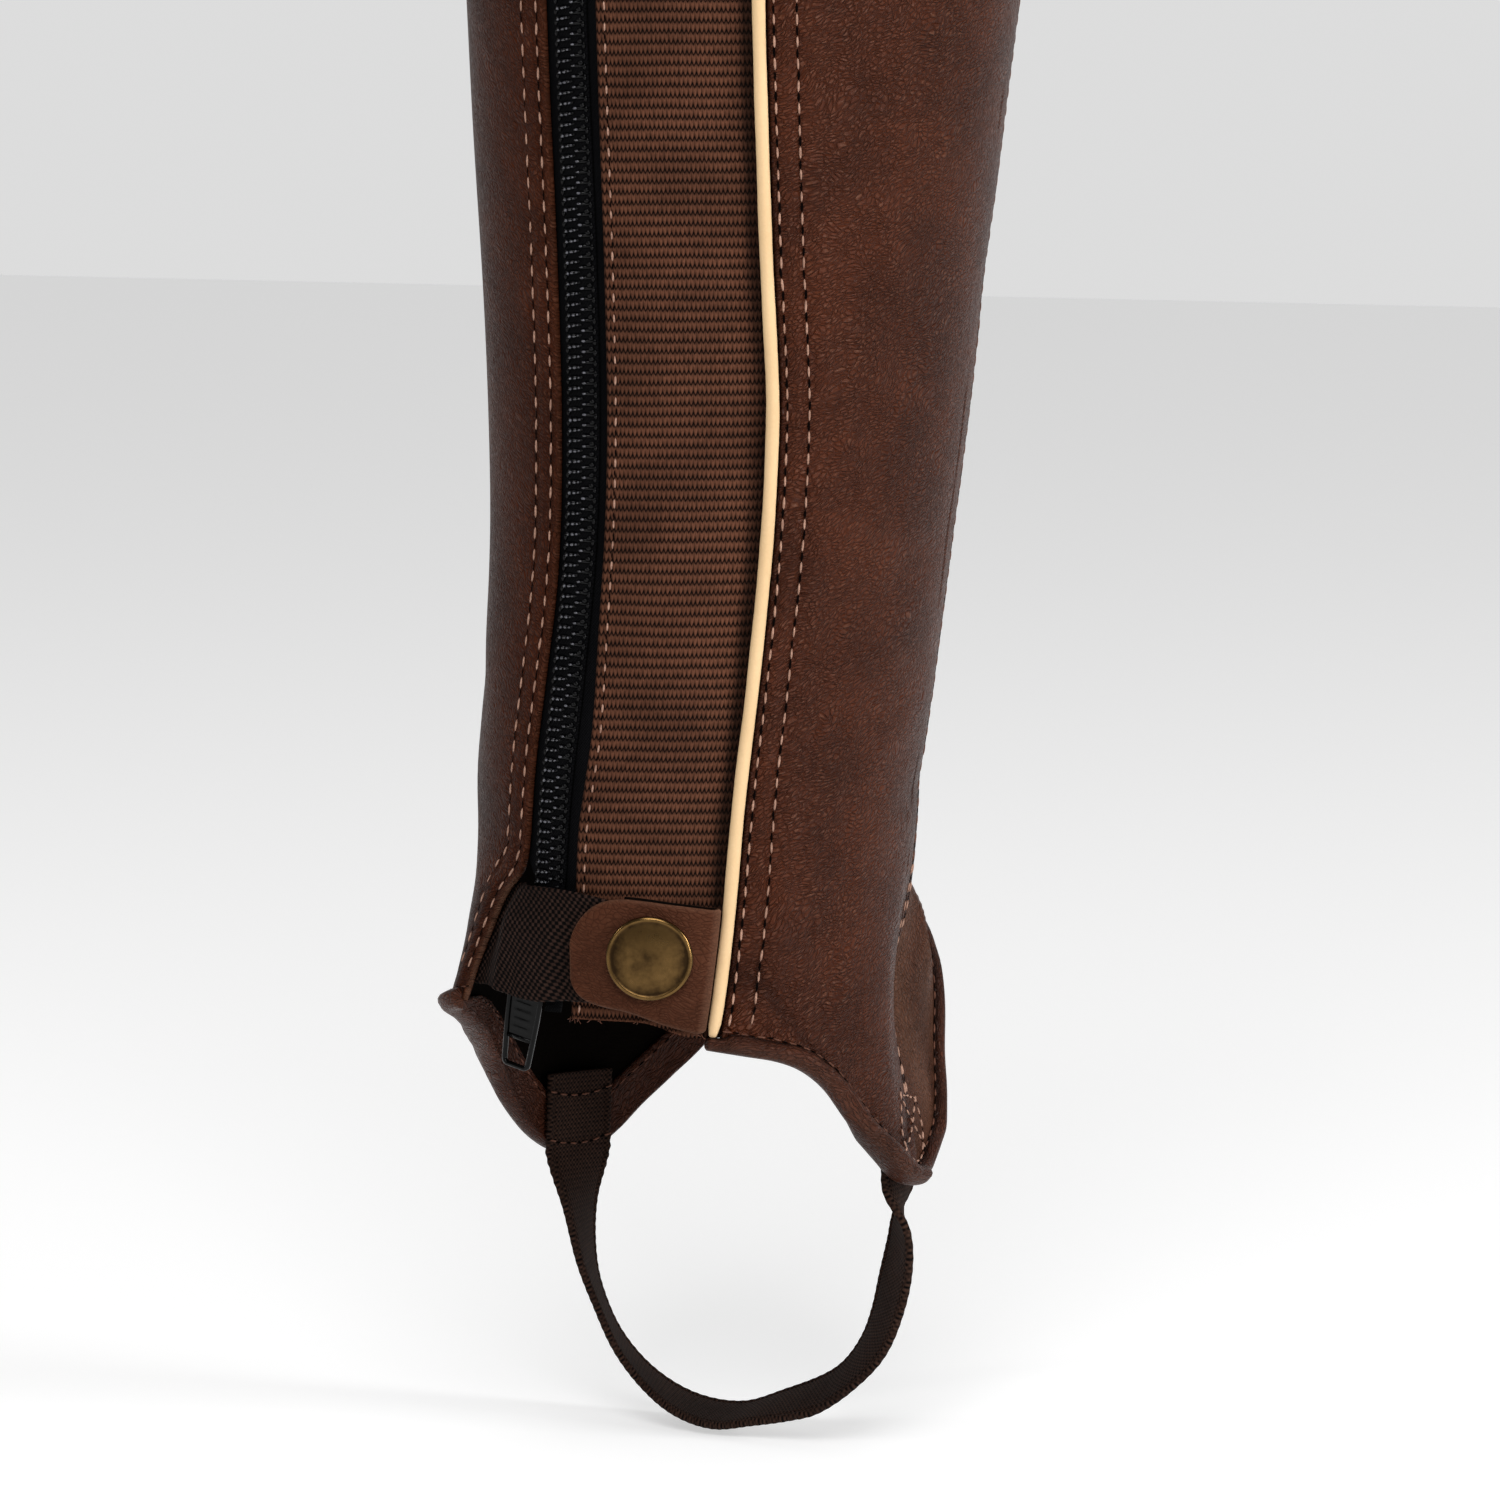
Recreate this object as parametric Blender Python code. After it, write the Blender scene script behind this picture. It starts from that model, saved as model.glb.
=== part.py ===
"""Half chap for the right leg: leather panels, elastic gusset, back zip, snap band and foot strap.

Lengths in the tables are millimetres. Heights are measured up from the tip of the outer lobe.
Angles are degrees round the leg: 0 at the back (+Y), 90 at the outer side (-X), 180 at the front
(-Y) and -90 at the inner side (+X). The part's origin is the middle of the calf at its fullest.
"""
import bpy
import bmesh
import math
import numpy as np

# ---- driving dimensions -----------------------------------------------------------------------
mount_height = 320.0        # height of the calf's fullest ring, where the chap is held
top_height = 402.0          # top edge
leather = 1.5               # thickness of the panels
tape = 0.8                  # thickness of the zip tape
elastic = 1.2               # thickness of the closing band
binding = 1.0               # thickness of the turned hem's leather
gap = 0.3                   # clearance between pieces
outer_level = 0.2           # inner face of the outer panel, above the form
under_level = -1.6          # inner face of the inner panel and the gusset
tape_level = -2.7           # inner face of the zip tapes
piping_radius = 1.2
chain_width = 6.6
tape_width = 14.0           # one tape, from the chain's middle
gusset_margin = 8.0         # gusset under the outer panel
front_lap = 14.4            # degrees of inner panel under the outer panel at the front seam
slider_height = 47.0        # height of the pull tab's pivot
snap_angle, snap_height, cap_radius = 28.1, 49.9, 7.9
strap_width, strap_thickness = 16.8, 1.3

# ---- the leg form: one row a section ----------------------------------------------------------
# height, centre x, centre y, half width, back reach / half width, front reach / half width
leg_sections = np.array([
    (-12, 10.1, 7.0, 38.8, 1.09, 1.12),
    (12, 10.1, 7.0, 38.8, 1.09, 1.12),
    (36, 10.0, 7.0, 38.8, 1.09, 1.12),
    (60, 9.9, 6.9, 39.2, 1.10, 1.12),
    (80, 9.4, 6.5, 40.1, 1.11, 1.12),
    (100, 7.9, 5.4, 40.8, 1.12, 1.12),
    (125, 6.0, 4.1, 41.8, 1.12, 1.11),
    (150, 4.75, 3.2, 43.5, 1.12, 1.10),
    (180, 3.8, 2.6, 45.9, 1.11, 1.09),
    (210, 2.9, 2.0, 48.7, 1.10, 1.07),
    (240, 2.0, 1.4, 51.4, 1.09, 1.06),
    (280, 0.8, 0.6, 54.6, 1.08, 1.05),
    (320, 0.0, 0.0, 55.8, 1.08, 1.04),
    (360, 0.0, 0.0, 54.6, 1.08, 1.04),
    (410, 0.0, 0.0, 51.0, 1.07, 1.05)])

# How far the foot part swells (+) or sinks (-) from the leg: a column an angle, a row a height.
# It holds the flare over the instep (180), the trough in front of the outer ankle (118), the
# swell of the two lobes and the corner beside the zip that turns outward (-34).
foot_angles = np.array([-180, -160, -145, -135, -120, -100, -80, -62, -50, -42, -34, -27, -18,
                        -8, 20, 80, 100, 110, 118, 126, 134, 142, 150, 160, 180], float)
foot_heights = np.array([-6, 6, 16, 26, 36, 44, 52, 62, 74], float)
foot_swell = np.array([
    (16, 13, 8, 5, 3.4, 2.8, 3.2, 2.6, 2.3, 3, 4.2, 4, 2, .2, 0, 0, 3, 3.8, 4.6, 5.8, 7.4, 9.2, 11.2, 13.6, 16),
    (16, 13, 8, 5, 3, 2.6, 3, 2.6, 2.3, 3, 4.2, 4, 2, .2, 0, 0, 2.6, 3.2, 3.8, 5.2, 7, 9, 11.2, 13.6, 16),
    (16, 13, 7.8, 4.4, 2.4, 2.2, 2.6, 2.0, 1.9, 3.4, 5.6, 5.4, 2.4, .2, 0, 0, 1.6, 1.4, 1.6, 3.6, 6.2, 8.6, 11, 13.6, 16),
    (15, 12, 7, 3.6, 1.4, 1.6, 2.2, 1.8, 2.2, 4.5, 8, 7.6, 3, .3, 0, 0, .8, -.4, -1.4, 0, 3.6, 7.3, 10.5, 12.8, 15),
    (14, 11.3, 6.2, 2.8, .6, 1.2, 1.8, 1.9, 2.5, 4.9, 8.9, 8.6, 3.2, .3, 0, 0, .5, -1.4, -3.6, -2.8, 1.2, 6.4, 10.2, 12.6, 14),
    (12.2, 9.8, 5, 2, 0, .9, 1.4, 1.9, 2.9, 4.6, 6.6, 6.2, 2.4, .3, 0, 0, .3, -1.2, -3.1, -2.3, 1.4, 6.2, 9.4, 11.4, 12.2),
    (9.6, 7.4, 3.5, 1, -.5, .6, .9, 1.4, 2.3, 3.3, 4.0, 3.6, 1.4, .2, 0, 0, 0, -.5, -1.7, -.4, 2.3, 5.2, 7.4, 9, 9.6),
    (2.4, 1, .5, 0, 0, .2, .2, .4, .8, 1.2, 1.6, 1.4, .6, 0, 0, 0, 0, 0, -.3, 0, .5, 1.0, 1.6, 2.1, 2.4),
    (0,) * 25])

# angle, height of the bottom edge
hem_line = np.array([
    (-180, 54), (-170, 51), (-160, 43), (-152, 31.5), (-145, 23), (-135, 15.5), (-126, 9.6),
    (-119, 4.8), (-111, 1.2), (-102, 1.4), (-93, 5.0), (-82, 12.6), (-74, 18.8), (-64, 24.4),
    (-54, 28.2), (-44, 32.4), (-36, 35.7), (-28, 37.6), (-15, 38.2), (0, 37.2), (20, 35.4),
    (33, 33.6), (42, 32.3), (52, 30.9), (62, 29.3), (70, 26.8), (78, 22.4), (86, 15.8),
    (94, 10.1), (103, 4.4), (112, 1.4), (121, 2.0), (128, 4.6), (135, 8), (142, 15), (147, 21.5),
    (152, 31), (160, 43.5), (170, 51), (180, 54)], float)

# seams that run up the leg: height, angle
zip_line = np.array([(20, -12.9), (34, -10.3), (44, -7.9), (54, -5.2), (63, -3.0), (89, 0.5),
                     (116, 2.3), (146, 3.1), (172, 2.7), (227, 0.9), (300, 0.0), (410, 0.0)])
inner_edge = np.array([(20, -26.2), (42, -26.2), (47, -25.7), (52, -24.3), (57, -21.9),
                       (60.5, -18.7), (63.5, -13.9), (70, -11.0), (89, -8.3), (116, -5.0),
                       (146, -4.2), (172, -4.7), (227, -6.2), (300, -6.7), (410, -7.2)])
gusset_edge = np.array([(20, 3.6), (40, 3.8), (62, 5.9), (73, 7.1), (82, 8.9), (92, 10.1),
                        (116, 9.8), (146, 10.0), (172, 9.3), (227, 7.4), (300, 6.4), (410, 6.8)])
piping_line = np.array([(20, 41.2), (35, 44.0), (42, 45.5), (56, 47.8), (72, 49.3), (87, 50.2),
                        (102, 50.6), (131, 50.4), (146, 49.9), (154, 49.4), (168, 47.7),
                        (183, 45.9), (198, 44.4), (212, 43.1), (227, 41.9), (260, 40.0),
                        (320, 38.4), (410, 40.4)])
front_seam = np.array([(-10, 110.0), (8, 112.0), (18, 114.5), (30, 118.0), (44, 122.0),
                       (60, 125.0), (80, 126.5), (140, 128.0), (410, 128.0)])

# closing band: angle, lower edge, upper edge
band_edges = np.array([(-36, 43.2, 61.2), (-24, 42.4, 61.4), (-5, 40.8, 62.0), (9, 40.7, 61.4),
                       (20, 40.4, 59.9), (40, 38.2, 57.6)])
# snap tab: angle, lower edge, upper edge
tab_edges = np.array([(7.2, 45.6, 51.8), (8.3, 43.4, 54.4), (10.3, 41.8, 56.8), (13.3, 40.8, 59.0),
                      (17.3, 40.1, 60.4), (22.3, 39.4, 60.8), (33.6, 36.9, 59.7),
                      (46.0, 34.7, 58.3)])

# free part of the foot strap: x, y, height, yaw and tilt of the strap's width
strap_route = (
    (45.3, -3.3, -8.8, 17, -1), (43.4, -2.7, -18.7, 28, 1), (40.5, -2.4, -26.2, 34, 1),
    (35.3, -2.4, -35.1, 35, 2), (27.9, -2.8, -42.0, 31, 1), (19.5, -3.6, -46.2, 22, 1),
    (10.0, -4.6, -47.3, 13, 5), (1.0, -6.0, -44.9, 7, 13), (-7.2, -7.2, -42.2, 5, 21),
    (-12.4, -8.0, -39.6, 10, 27), (-17.7, -9.1, -34.5, 23, 29), (-21.8, -10.1, -28.3, 39, 27),
    (-24.1, -11.0, -21.1, 47, 23), (-25.7, -11.8, -13.0, 48, 14), (-25.7, -12.3, -6.6, 42, 3))
inner_strap_angle, outer_strap_angle = -104.5, 117.0
strap_level = -3.95          # middle of the strap where it is sewn inside the lobes


# ---- reading the tables -----------------------------------------------------------------------
def curve(xs, ys, x):
    """Smooth curve through a table."""
    x = np.asarray(x, float)
    slope = np.empty(len(xs))
    step = np.diff(ys) / np.diff(xs)
    slope[0], slope[-1] = step[0], step[-1]
    slope[1:-1] = (ys[2:] - ys[:-2]) / (xs[2:] - xs[:-2])
    i = np.clip(np.searchsorted(xs, x) - 1, 0, len(xs) - 2)
    width = xs[i + 1] - xs[i]
    t = np.clip((x - xs[i]) / width, 0, 1)
    return ((2 * t**3 - 3 * t**2 + 1) * ys[i] + (t**3 - 2 * t**2 + t) * width * slope[i]
            + (3 * t**2 - 2 * t**3) * ys[i + 1] + (t**3 - t**2) * width * slope[i + 1])


def line(table, x, column=1):
    return curve(table[:, 0], table[:, column], x)


def ease(a, b, x):
    t = np.clip((np.asarray(x, float) - a) / (b - a), 0, 1)
    return t * t * (3 - 2 * t)


def wrap(angle):
    return (np.asarray(angle, float) + 180) % 360 - 180


def hem_height(angle):
    return line(hem_line, wrap(angle))


def swell(angle, height):
    """Swell of the foot part, read across the rows first and then up the column."""
    h = np.clip(height, foot_heights[0], foot_heights[-1])
    rows = np.stack([curve(foot_angles, row, angle) for row in foot_swell])
    i = np.clip(np.searchsorted(foot_heights, h) - 1, 0, len(foot_heights) - 2)
    slope = np.zeros_like(rows)
    span = (foot_heights[2:] - foot_heights[:-2]).reshape((-1,) + (1,) * h.ndim)
    slope[1:-1] = (rows[2:] - rows[:-2]) / span
    pick = lambda table, k: np.take_along_axis(table, k[None], 0)[0]
    width = foot_heights[i + 1] - foot_heights[i]
    t = (h - foot_heights[i]) / width
    return ((2 * t**3 - 3 * t**2 + 1) * pick(rows, i) + (t**3 - 2 * t**2 + t) * width * pick(slope, i)
            + (3 * t**2 - 2 * t**3) * pick(rows, i + 1) + (t**3 - t**2) * width * pick(slope, i + 1))


# ---- the form ---------------------------------------------------------------------------------
def base(angle, height):
    angle, height = np.broadcast_arrays(np.asarray(angle, float), np.asarray(height, float))
    cx, cy, side, back, front = (line(leg_sections, height, k) for k in range(1, 6))
    s, c = np.sin(np.radians(angle)), np.cos(np.radians(angle))
    out = swell(wrap(angle), height)
    reach = side * np.where(c > 0, back, front)
    return np.stack([cx - (side + out) * s, cy + (reach + out) * c, height], -1)


def form(angle, height, level=0.0):
    """Point on the form, moved out along its normal by level."""
    point = base(angle, height)
    round_leg = base(np.add(angle, 0.5), height) - base(np.subtract(angle, 0.5), height)
    up_leg = base(angle, np.add(height, 0.75)) - base(angle, np.subtract(height, 0.75))
    normal = np.cross(round_leg, up_leg)
    normal /= np.linalg.norm(normal, axis=-1, keepdims=True)
    return point + normal * np.asarray(level, float)[..., None]


def degrees_of(length, angle, height):
    """Angle that spans a length round the leg."""
    step = base(np.add(angle, 0.5), height) - base(np.subtract(angle, 0.5), height)
    return length / np.linalg.norm(step, axis=-1)


def beside(table, height, across):
    """Angle of a line that runs beside a seam."""
    angle = line(table, height)
    return angle + degrees_of(across, angle, height)


# ---- meshes -----------------------------------------------------------------------------------
def add_object(name, points, faces, look):
    points = np.asarray(points, float).reshape(-1, 3)
    scaled = (points - (0, 0, mount_height)) * 0.001
    bm = bmesh.new()
    verts = [bm.verts.new(p) for p in scaled]
    for face in faces:
        bm.faces.new([verts[i] for i in face])
    if bm.calc_volume(signed=True) < 0:
        bmesh.ops.reverse_faces(bm, faces=bm.faces)
    mesh = bpy.data.meshes.new(name)
    bm.to_mesh(mesh)
    bm.free()
    mesh.shade_smooth()
    mesh.set_sharp_from_angle(angle=math.radians(35))
    mesh.materials.append(look)
    piece = bpy.data.objects.new(name, mesh)
    bpy.context.scene.collection.objects.link(piece)
    return piece


def grid_faces(rows, columns, first=0, closed=False):
    faces = []
    for r in range(rows - 1):
        for c in range(columns if closed else columns - 1):
            d = (c + 1) % columns
            a, b = first + r * columns, first + (r + 1) * columns
            faces.append((a + c, a + d, b + d, b + c))
    return faces


def wall(name, outside, inside, look):
    """Closed wall between two grids of points."""
    rows, columns = outside.shape[:2]
    count = rows * columns
    faces = grid_faces(rows, columns)
    faces += [face[::-1] for face in grid_faces(rows, columns, count)]
    rim = ([(0, c) for c in range(columns)] + [(r, columns - 1) for r in range(1, rows)]
           + [(rows - 1, c) for c in range(columns - 2, -1, -1)]
           + [(r, 0) for r in range(rows - 2, 0, -1)])
    index = [r * columns + c for r, c in rim]
    for a, b in zip(index, index[1:] + index[:1]):
        faces.append((b, a, a + count, b + count))
    return add_object(name, np.concatenate([outside.reshape(-1, 3), inside.reshape(-1, 3)]),
                      faces, look)


def sweep(name, rings, look):
    """Closed bar through rings of points, capped at both ends."""
    rings = np.asarray(rings, float)
    count, corners = rings.shape[:2]
    faces = grid_faces(count, corners, closed=True)
    faces.append(tuple(range(corners))[::-1])
    faces.append(tuple(range((count - 1) * corners, count * corners)))
    return add_object(name, rings, faces, look)


def material(name, colour, roughness, metallic=0.0):
    look = bpy.data.materials.new(name)
    look.use_nodes = True
    shader = look.node_tree.nodes["Principled BSDF"]
    shader.inputs["Base Color"].default_value = (*colour, 1.0)
    shader.inputs["Roughness"].default_value = roughness
    shader.inputs["Metallic"].default_value = metallic
    return look


def combine(name, body, tools, operation, look):
    """Join tools to a body, or cut them from it."""
    for tool in tools:
        modifier = body.modifiers.new("combine", "BOOLEAN")
        modifier.operation = operation
        modifier.solver = "EXACT"
        modifier.object = tool
    bpy.context.view_layer.update()
    result = bpy.data.meshes.new_from_object(body.evaluated_get(bpy.context.evaluated_depsgraph_get()))
    result.materials.clear()
    result.materials.append(look)
    for used in [body, *tools]:
        bpy.data.objects.remove(used)
    piece = bpy.data.objects.new(name, result)
    bpy.context.scene.collection.objects.link(piece)
    return piece


# ---- heights that the pieces share ------------------------------------------------------------
leg_heights = np.array([62, 70, 80, 92, 106, 122, 140, 160, 182, 206, 232, 260, 290, 320, 350, 377])


def edge_frame(angle, height_of):
    """Edge height, and the angle and height that one millimetre square to the edge adds."""
    height = height_of(angle)
    along = base(angle + 0.5, height_of(angle + 0.5)) - base(angle - 0.5, height_of(angle - 0.5))
    round_leg = base(angle + 0.5, height) - base(angle - 0.5, height)
    up_leg = (base(angle, height + 0.75) - base(angle, height - 0.75)) / 1.5
    away = np.cross(np.cross(round_leg, up_leg), along)
    away /= np.linalg.norm(away)
    turn, rise = np.linalg.lstsq(np.stack([round_leg, up_leg], 1), away, rcond=None)[0]
    return height, turn, rise


def inset_edge(margin):
    """Angle and height rows of the line that runs a margin inside the hem line."""
    rows = []
    for angle in np.arange(-180, 180, 1.0):
        height, turn, rise = edge_frame(angle, hem_height)
        rows.append((angle + turn * margin, height + rise * margin))
    rows = np.array(rows)
    rows = rows[np.argsort(rows[:, 0])]
    return np.vstack([rows[-1] - (360, 0), rows, rows[0] + (360, 0)])


panel_edge = inset_edge(binding + gap + 0.1)


def panel_grid(column_angle, columns, foot_rows=9):
    """Heights and angles of a panel that runs from the turned hem to the top binding."""
    height = np.full(columns, 30.0)
    for _ in range(14):
        angle = wrap(column_angle(height))
        height = 0.5 * height + 0.5 * np.interp(angle, panel_edge[:, 0], panel_edge[:, 1])
    steps = np.linspace(0, 1, foot_rows, endpoint=False)
    low = height + (leg_heights[0] - height) * steps[:, None]
    high = np.repeat(np.append(leg_heights, top_height - binding - gap)[:, None], columns, 1)
    heights = np.vstack([low, high])
    return heights, np.stack([column_angle(h) for h in heights])


def blend(a, b, t):
    return a + (b - a) * t


# ---- build ------------------------------------------------------------------------------------
for old in list(bpy.data.objects):
    bpy.data.objects.remove(old)

brown_leather = material("brown_leather", (0.075, 0.030, 0.018), 0.48)
tab_leather = material("tab_leather", (0.105, 0.045, 0.028), 0.52)
brown_elastic = material("brown_elastic", (0.055, 0.025, 0.016), 0.85)
dark_elastic = material("dark_elastic", (0.013, 0.008, 0.006), 0.85)
cream = material("cream_leather", (0.76, 0.56, 0.35), 0.5)
black_tape = material("black_tape", (0.006, 0.006, 0.007), 0.8)
black_plastic = material("black_plastic", (0.007, 0.007, 0.008), 0.3)
brass = material("antique_brass", (0.20, 0.14, 0.05), 0.35, 1.0)

# Outer panel: its last columns run with the front seam, as the inner panel's first ones do.
lap_steps = np.linspace(front_lap, 0, 5)
outer_parts = np.linspace(0, 1, 12)[:-1]


def outer_columns(height):
    back = beside(piping_line, height, piping_radius + gap)
    front = line(front_seam, height)
    cut = outer_parts * np.ones(1)
    free = blend(back[: len(cut)], front[: len(cut)] - front_lap, cut)
    return np.concatenate([free, front[len(cut):] - lap_steps])


heights, angles = panel_grid(outer_columns, len(outer_parts) + len(lap_steps))
wall("outer_panel", form(angles, heights, outer_level + leather), form(angles, heights, outer_level),
     brown_leather)

# Inner panel: closer columns where the hem climbs to the instep and at the corner that turns outward.
hem_turns = np.concatenate([np.arange(116, 140, 4.0), np.arange(140, 165, 3.0), np.arange(166, 195, 4.0),
                            np.arange(195, 221, 3.2), np.arange(224, 300, 7.6), np.arange(301, 331, 4.2),
                            [333.8]])
inner_parts = (hem_turns - 112) / (333.8 - 112)


def inner_columns(height):
    front = line(front_seam, height)
    end = 360 + line(inner_edge, height)
    lap = front[: len(lap_steps)] - lap_steps
    k = len(lap_steps)
    return np.concatenate([lap, blend(front[k:], end[k:], inner_parts)])


heights, angles = panel_grid(inner_columns, len(lap_steps) + len(inner_parts))
wall("inner_panel", form(angles, heights, under_level + leather), form(angles, heights, under_level),
     brown_leather)

# Gusset, from the zip to its margin under the outer panel.
gusset_heights = np.concatenate([[36.9, 42, 47, 52, 57], leg_heights, [top_height - binding - gap]])
parts = np.linspace(0, 1, 9)
heights = np.repeat(gusset_heights[:, None], len(parts), 1)
angles = blend(line(gusset_edge, heights), beside(piping_line, heights, gusset_margin), parts)
wall("gusset", form(angles, heights, under_level + leather), form(angles, heights, under_level),
     brown_elastic)

# Piping, a cord laid along the gusset's seam.
piping_heights = np.concatenate([[34.4, 38, 43, 49, 55], leg_heights, [396.4]])
level = under_level + leather + gap + 0.05 + piping_radius
rings = []
for height in piping_heights:
    turn = np.radians(np.arange(8) * 45 + 22.5)
    angle = beside(piping_line, height, piping_radius * np.cos(turn))
    rings.append(form(angle, np.full(8, height), level + piping_radius * np.sin(turn)))
sweep("piping", rings, cream)

# Zip tapes: under the two edges, parted round the slider's neck at the foot.
tape_heights = np.concatenate([[37.6, 41, 44.5, 48, 53, 58], leg_heights, [396.6]])
for name, side in (("tape_inner", -1), ("tape_outer", 1)):
    near = blend(1.5, 0.4, ease(45, 50, tape_heights))
    far = blend(5.2, tape_width, ease(62.5, 73, tape_heights))
    across = side * blend(near[:, None], far[:, None], np.linspace(0, 1, 4))
    heights = np.repeat(tape_heights[:, None], 4, 1)
    angles = beside(zip_line, heights, across)
    wall(name, form(angles, heights, tape_level + tape), form(angles, heights, tape_level), black_tape)

# Closed chain.
chain_heights = np.concatenate([[45.2, 49, 53, 58], leg_heights, [395.6]])
half = chain_width / 2
section = np.array([(-half, -1.6), (-half, -0.4), (-half + 0.8, 0.4), (0, 0.25), (half - 0.8, 0.4),
                    (half, -0.4), (half, -1.6), (0, -1.6)])
rings = [form(beside(zip_line, h, section[:, 0]), np.full(len(section), h), section[:, 1])
         for h in chain_heights]
sweep("zip_chain", rings, black_plastic)

# Slider and pull tab stand in a flat frame at the pivot, leaning with the zip.
pivot_angle = float(line(zip_line, slider_height))
origin = form(np.array(pivot_angle), np.array(slider_height))
foot_point = form(line(zip_line, np.array(slider_height - 6.0)), np.array(slider_height - 6.0))
head_point = form(line(zip_line, np.array(slider_height + 6.0)), np.array(slider_height + 6.0))
outward = (form(np.array(pivot_angle), np.array(slider_height), 1.0) - origin) * (1, 1, 0)
outward /= np.linalg.norm(outward)
down = foot_point - head_point
down -= outward * down.dot(outward)
down /= np.linalg.norm(down)
axle = np.cross(outward, down)          # along the pivot, towards the gusset
pivot_level = 2.25
pivot = origin + outward * pivot_level


def block(name, across, along, level, look):
    """Box in the slider's frame: ranges across the zip, down it and out from the form."""
    corners = [origin + axle * a + down * d + outward * o for o in level for d in along for a in across]
    faces = [(0, 1, 3, 2), (4, 6, 7, 5), (0, 4, 5, 1), (2, 3, 7, 6), (0, 2, 6, 4), (1, 5, 7, 3)]
    return add_object(name, corners, faces, look)


def plate(name, outline, level, look):
    """Plate with an outline of (across, down) points."""
    rings = [[origin + axle * a + down * d + outward * o for a, d in outline] for o in level]
    return sweep(name, rings, look)


slider_outline = [(-3.8, -5.2), (3.8, -5.2), (4.7, -3.6), (4.7, 3.0), (3.2, 5.0), (-3.2, 5.0),
                  (-4.7, 3.0), (-4.7, -3.6)]
combine("zip_slider", plate("slider_top", slider_outline, (0.85, 1.45), black_plastic), [
    plate("slider_bottom", slider_outline, (-4.2, -3.4), black_plastic),
    block("slider_neck", (-0.9, 0.9), (2.9, 4.6), (-3.8, 1.1), black_plastic),
    block("crown_head", (-0.9, 0.9), (-4.3, -3.1), (1.1, 3.3), black_plastic),
    block("crown_foot", (-0.9, 0.9), (1.6, 2.8), (1.1, 3.3), black_plastic),
    block("crown_beam", (-0.9, 0.9), (-4.3, 2.8), (3.0, 3.6), black_plastic)], "UNION", black_plastic)

pull_outline = [(-3.8, -0.45), (3.8, -0.45), (4.3, 0.2), (4.3, 6.0), (4.1, 11.0), (3.4, 19.4),
                (2.9, 20.3), (-2.9, 20.3), (-3.4, 19.4), (-4.1, 11.0), (-4.3, 6.0), (-4.3, 0.2)]
combine("pull_tab", plate("pull_plate", pull_outline, (1.8, 2.7), black_plastic), [
    plate("pull_eye", [(-1.3, 0.45), (1.3, 0.45), (1.3, 4.3), (-1.3, 4.3)], (1.0, 3.5), black_plastic),
    plate("pull_window", [(-2.3, 14.6), (2.3, 14.6), (2.0, 18.4), (-2.0, 18.4)], (1.0, 3.5),
          black_plastic)], "DIFFERENCE", black_plastic)


# Closing band: tucked under the inner panel, over the slider, into the snap tab.
def band_level(angle, height):
    """Inner face of the band."""
    edge = line(inner_edge, height)
    past_edge = (angle - edge) / degrees_of(1.0, edge, height)
    middle = line(zip_line, height)
    off_zip = np.abs(angle - middle) / degrees_of(1.0, middle, height)
    level = -3.1 + 4.3 * ease(0.4, 6.0, past_edge)
    over_slider = (1 - ease(5.0, 9.2, off_zip)) * (1 - ease(52.5, 60, height))
    level = level + (2.75 + 0.5 * ease(53, 41, height)) * over_slider
    return level + 0.25 * ease(3, 8, angle)


band_angles = np.concatenate([np.linspace(-33, -27, 3), np.linspace(-24.5, 7, 14), np.linspace(10.5, 38.6, 8)])
parts = np.linspace(0, 1, 7)[:, None]
heights = blend(line(band_edges, band_angles, 1), line(band_edges, band_angles, 2), parts)
angles = np.repeat(band_angles[None], len(parts), 0)
level = band_level(angles, heights)
wall("band", form(angles, heights, level + elastic), form(angles, heights, level), dark_elastic)

# Snap tab: one strip, its front leaf over the band, folded beside the piping, its back leaf under.
leaf = 1.1
fold_radius = 1.35           # middle of the leather round the fold
front_level, back_level = 3.5, 0.7
fold_angle = 41.6
stations = [(a, front_level, 0.0) for a in (7.2, 8.3, 10.3, 13.3, 17.3, 22.3, 27.0, 31.5, 35.5, 39.0)]
stations += [(fold_angle, (front_level + back_level) / 2, t) for t in (0.0, 36.0, 72.0, 108.0, 144.0, 180.0)]
stations += [(a, back_level, 180.0) for a in (39.0, 35.5, 31.5, 27.0, 21.0)]
outside, inside = [], []
for angle, level, turn in stations:
    rows = np.linspace(0, 1, 6)
    low, high = line(tab_edges, angle, 1), line(tab_edges, angle, 2)
    height = blend(low, high, rows)
    fold_shift = (line(piping_line, height) - line(piping_line, 48.0)) * ease(20, fold_angle, angle)
    for side, points in ((1, outside), (-1, inside)):
        radius = side * leaf / 2 + ((front_level - back_level) / 2 if angle == fold_angle else 0)
        t = math.radians(turn)
        centre_angle = angle + fold_shift
        across = radius * math.sin(t)
        lift = radius * math.cos(t)
        points.append(form(centre_angle + degrees_of(across, centre_angle, height), height,
                           np.full(len(rows), level + lift)))
wall("snap_tab", np.array(outside), np.array(inside), tab_leather)


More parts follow.
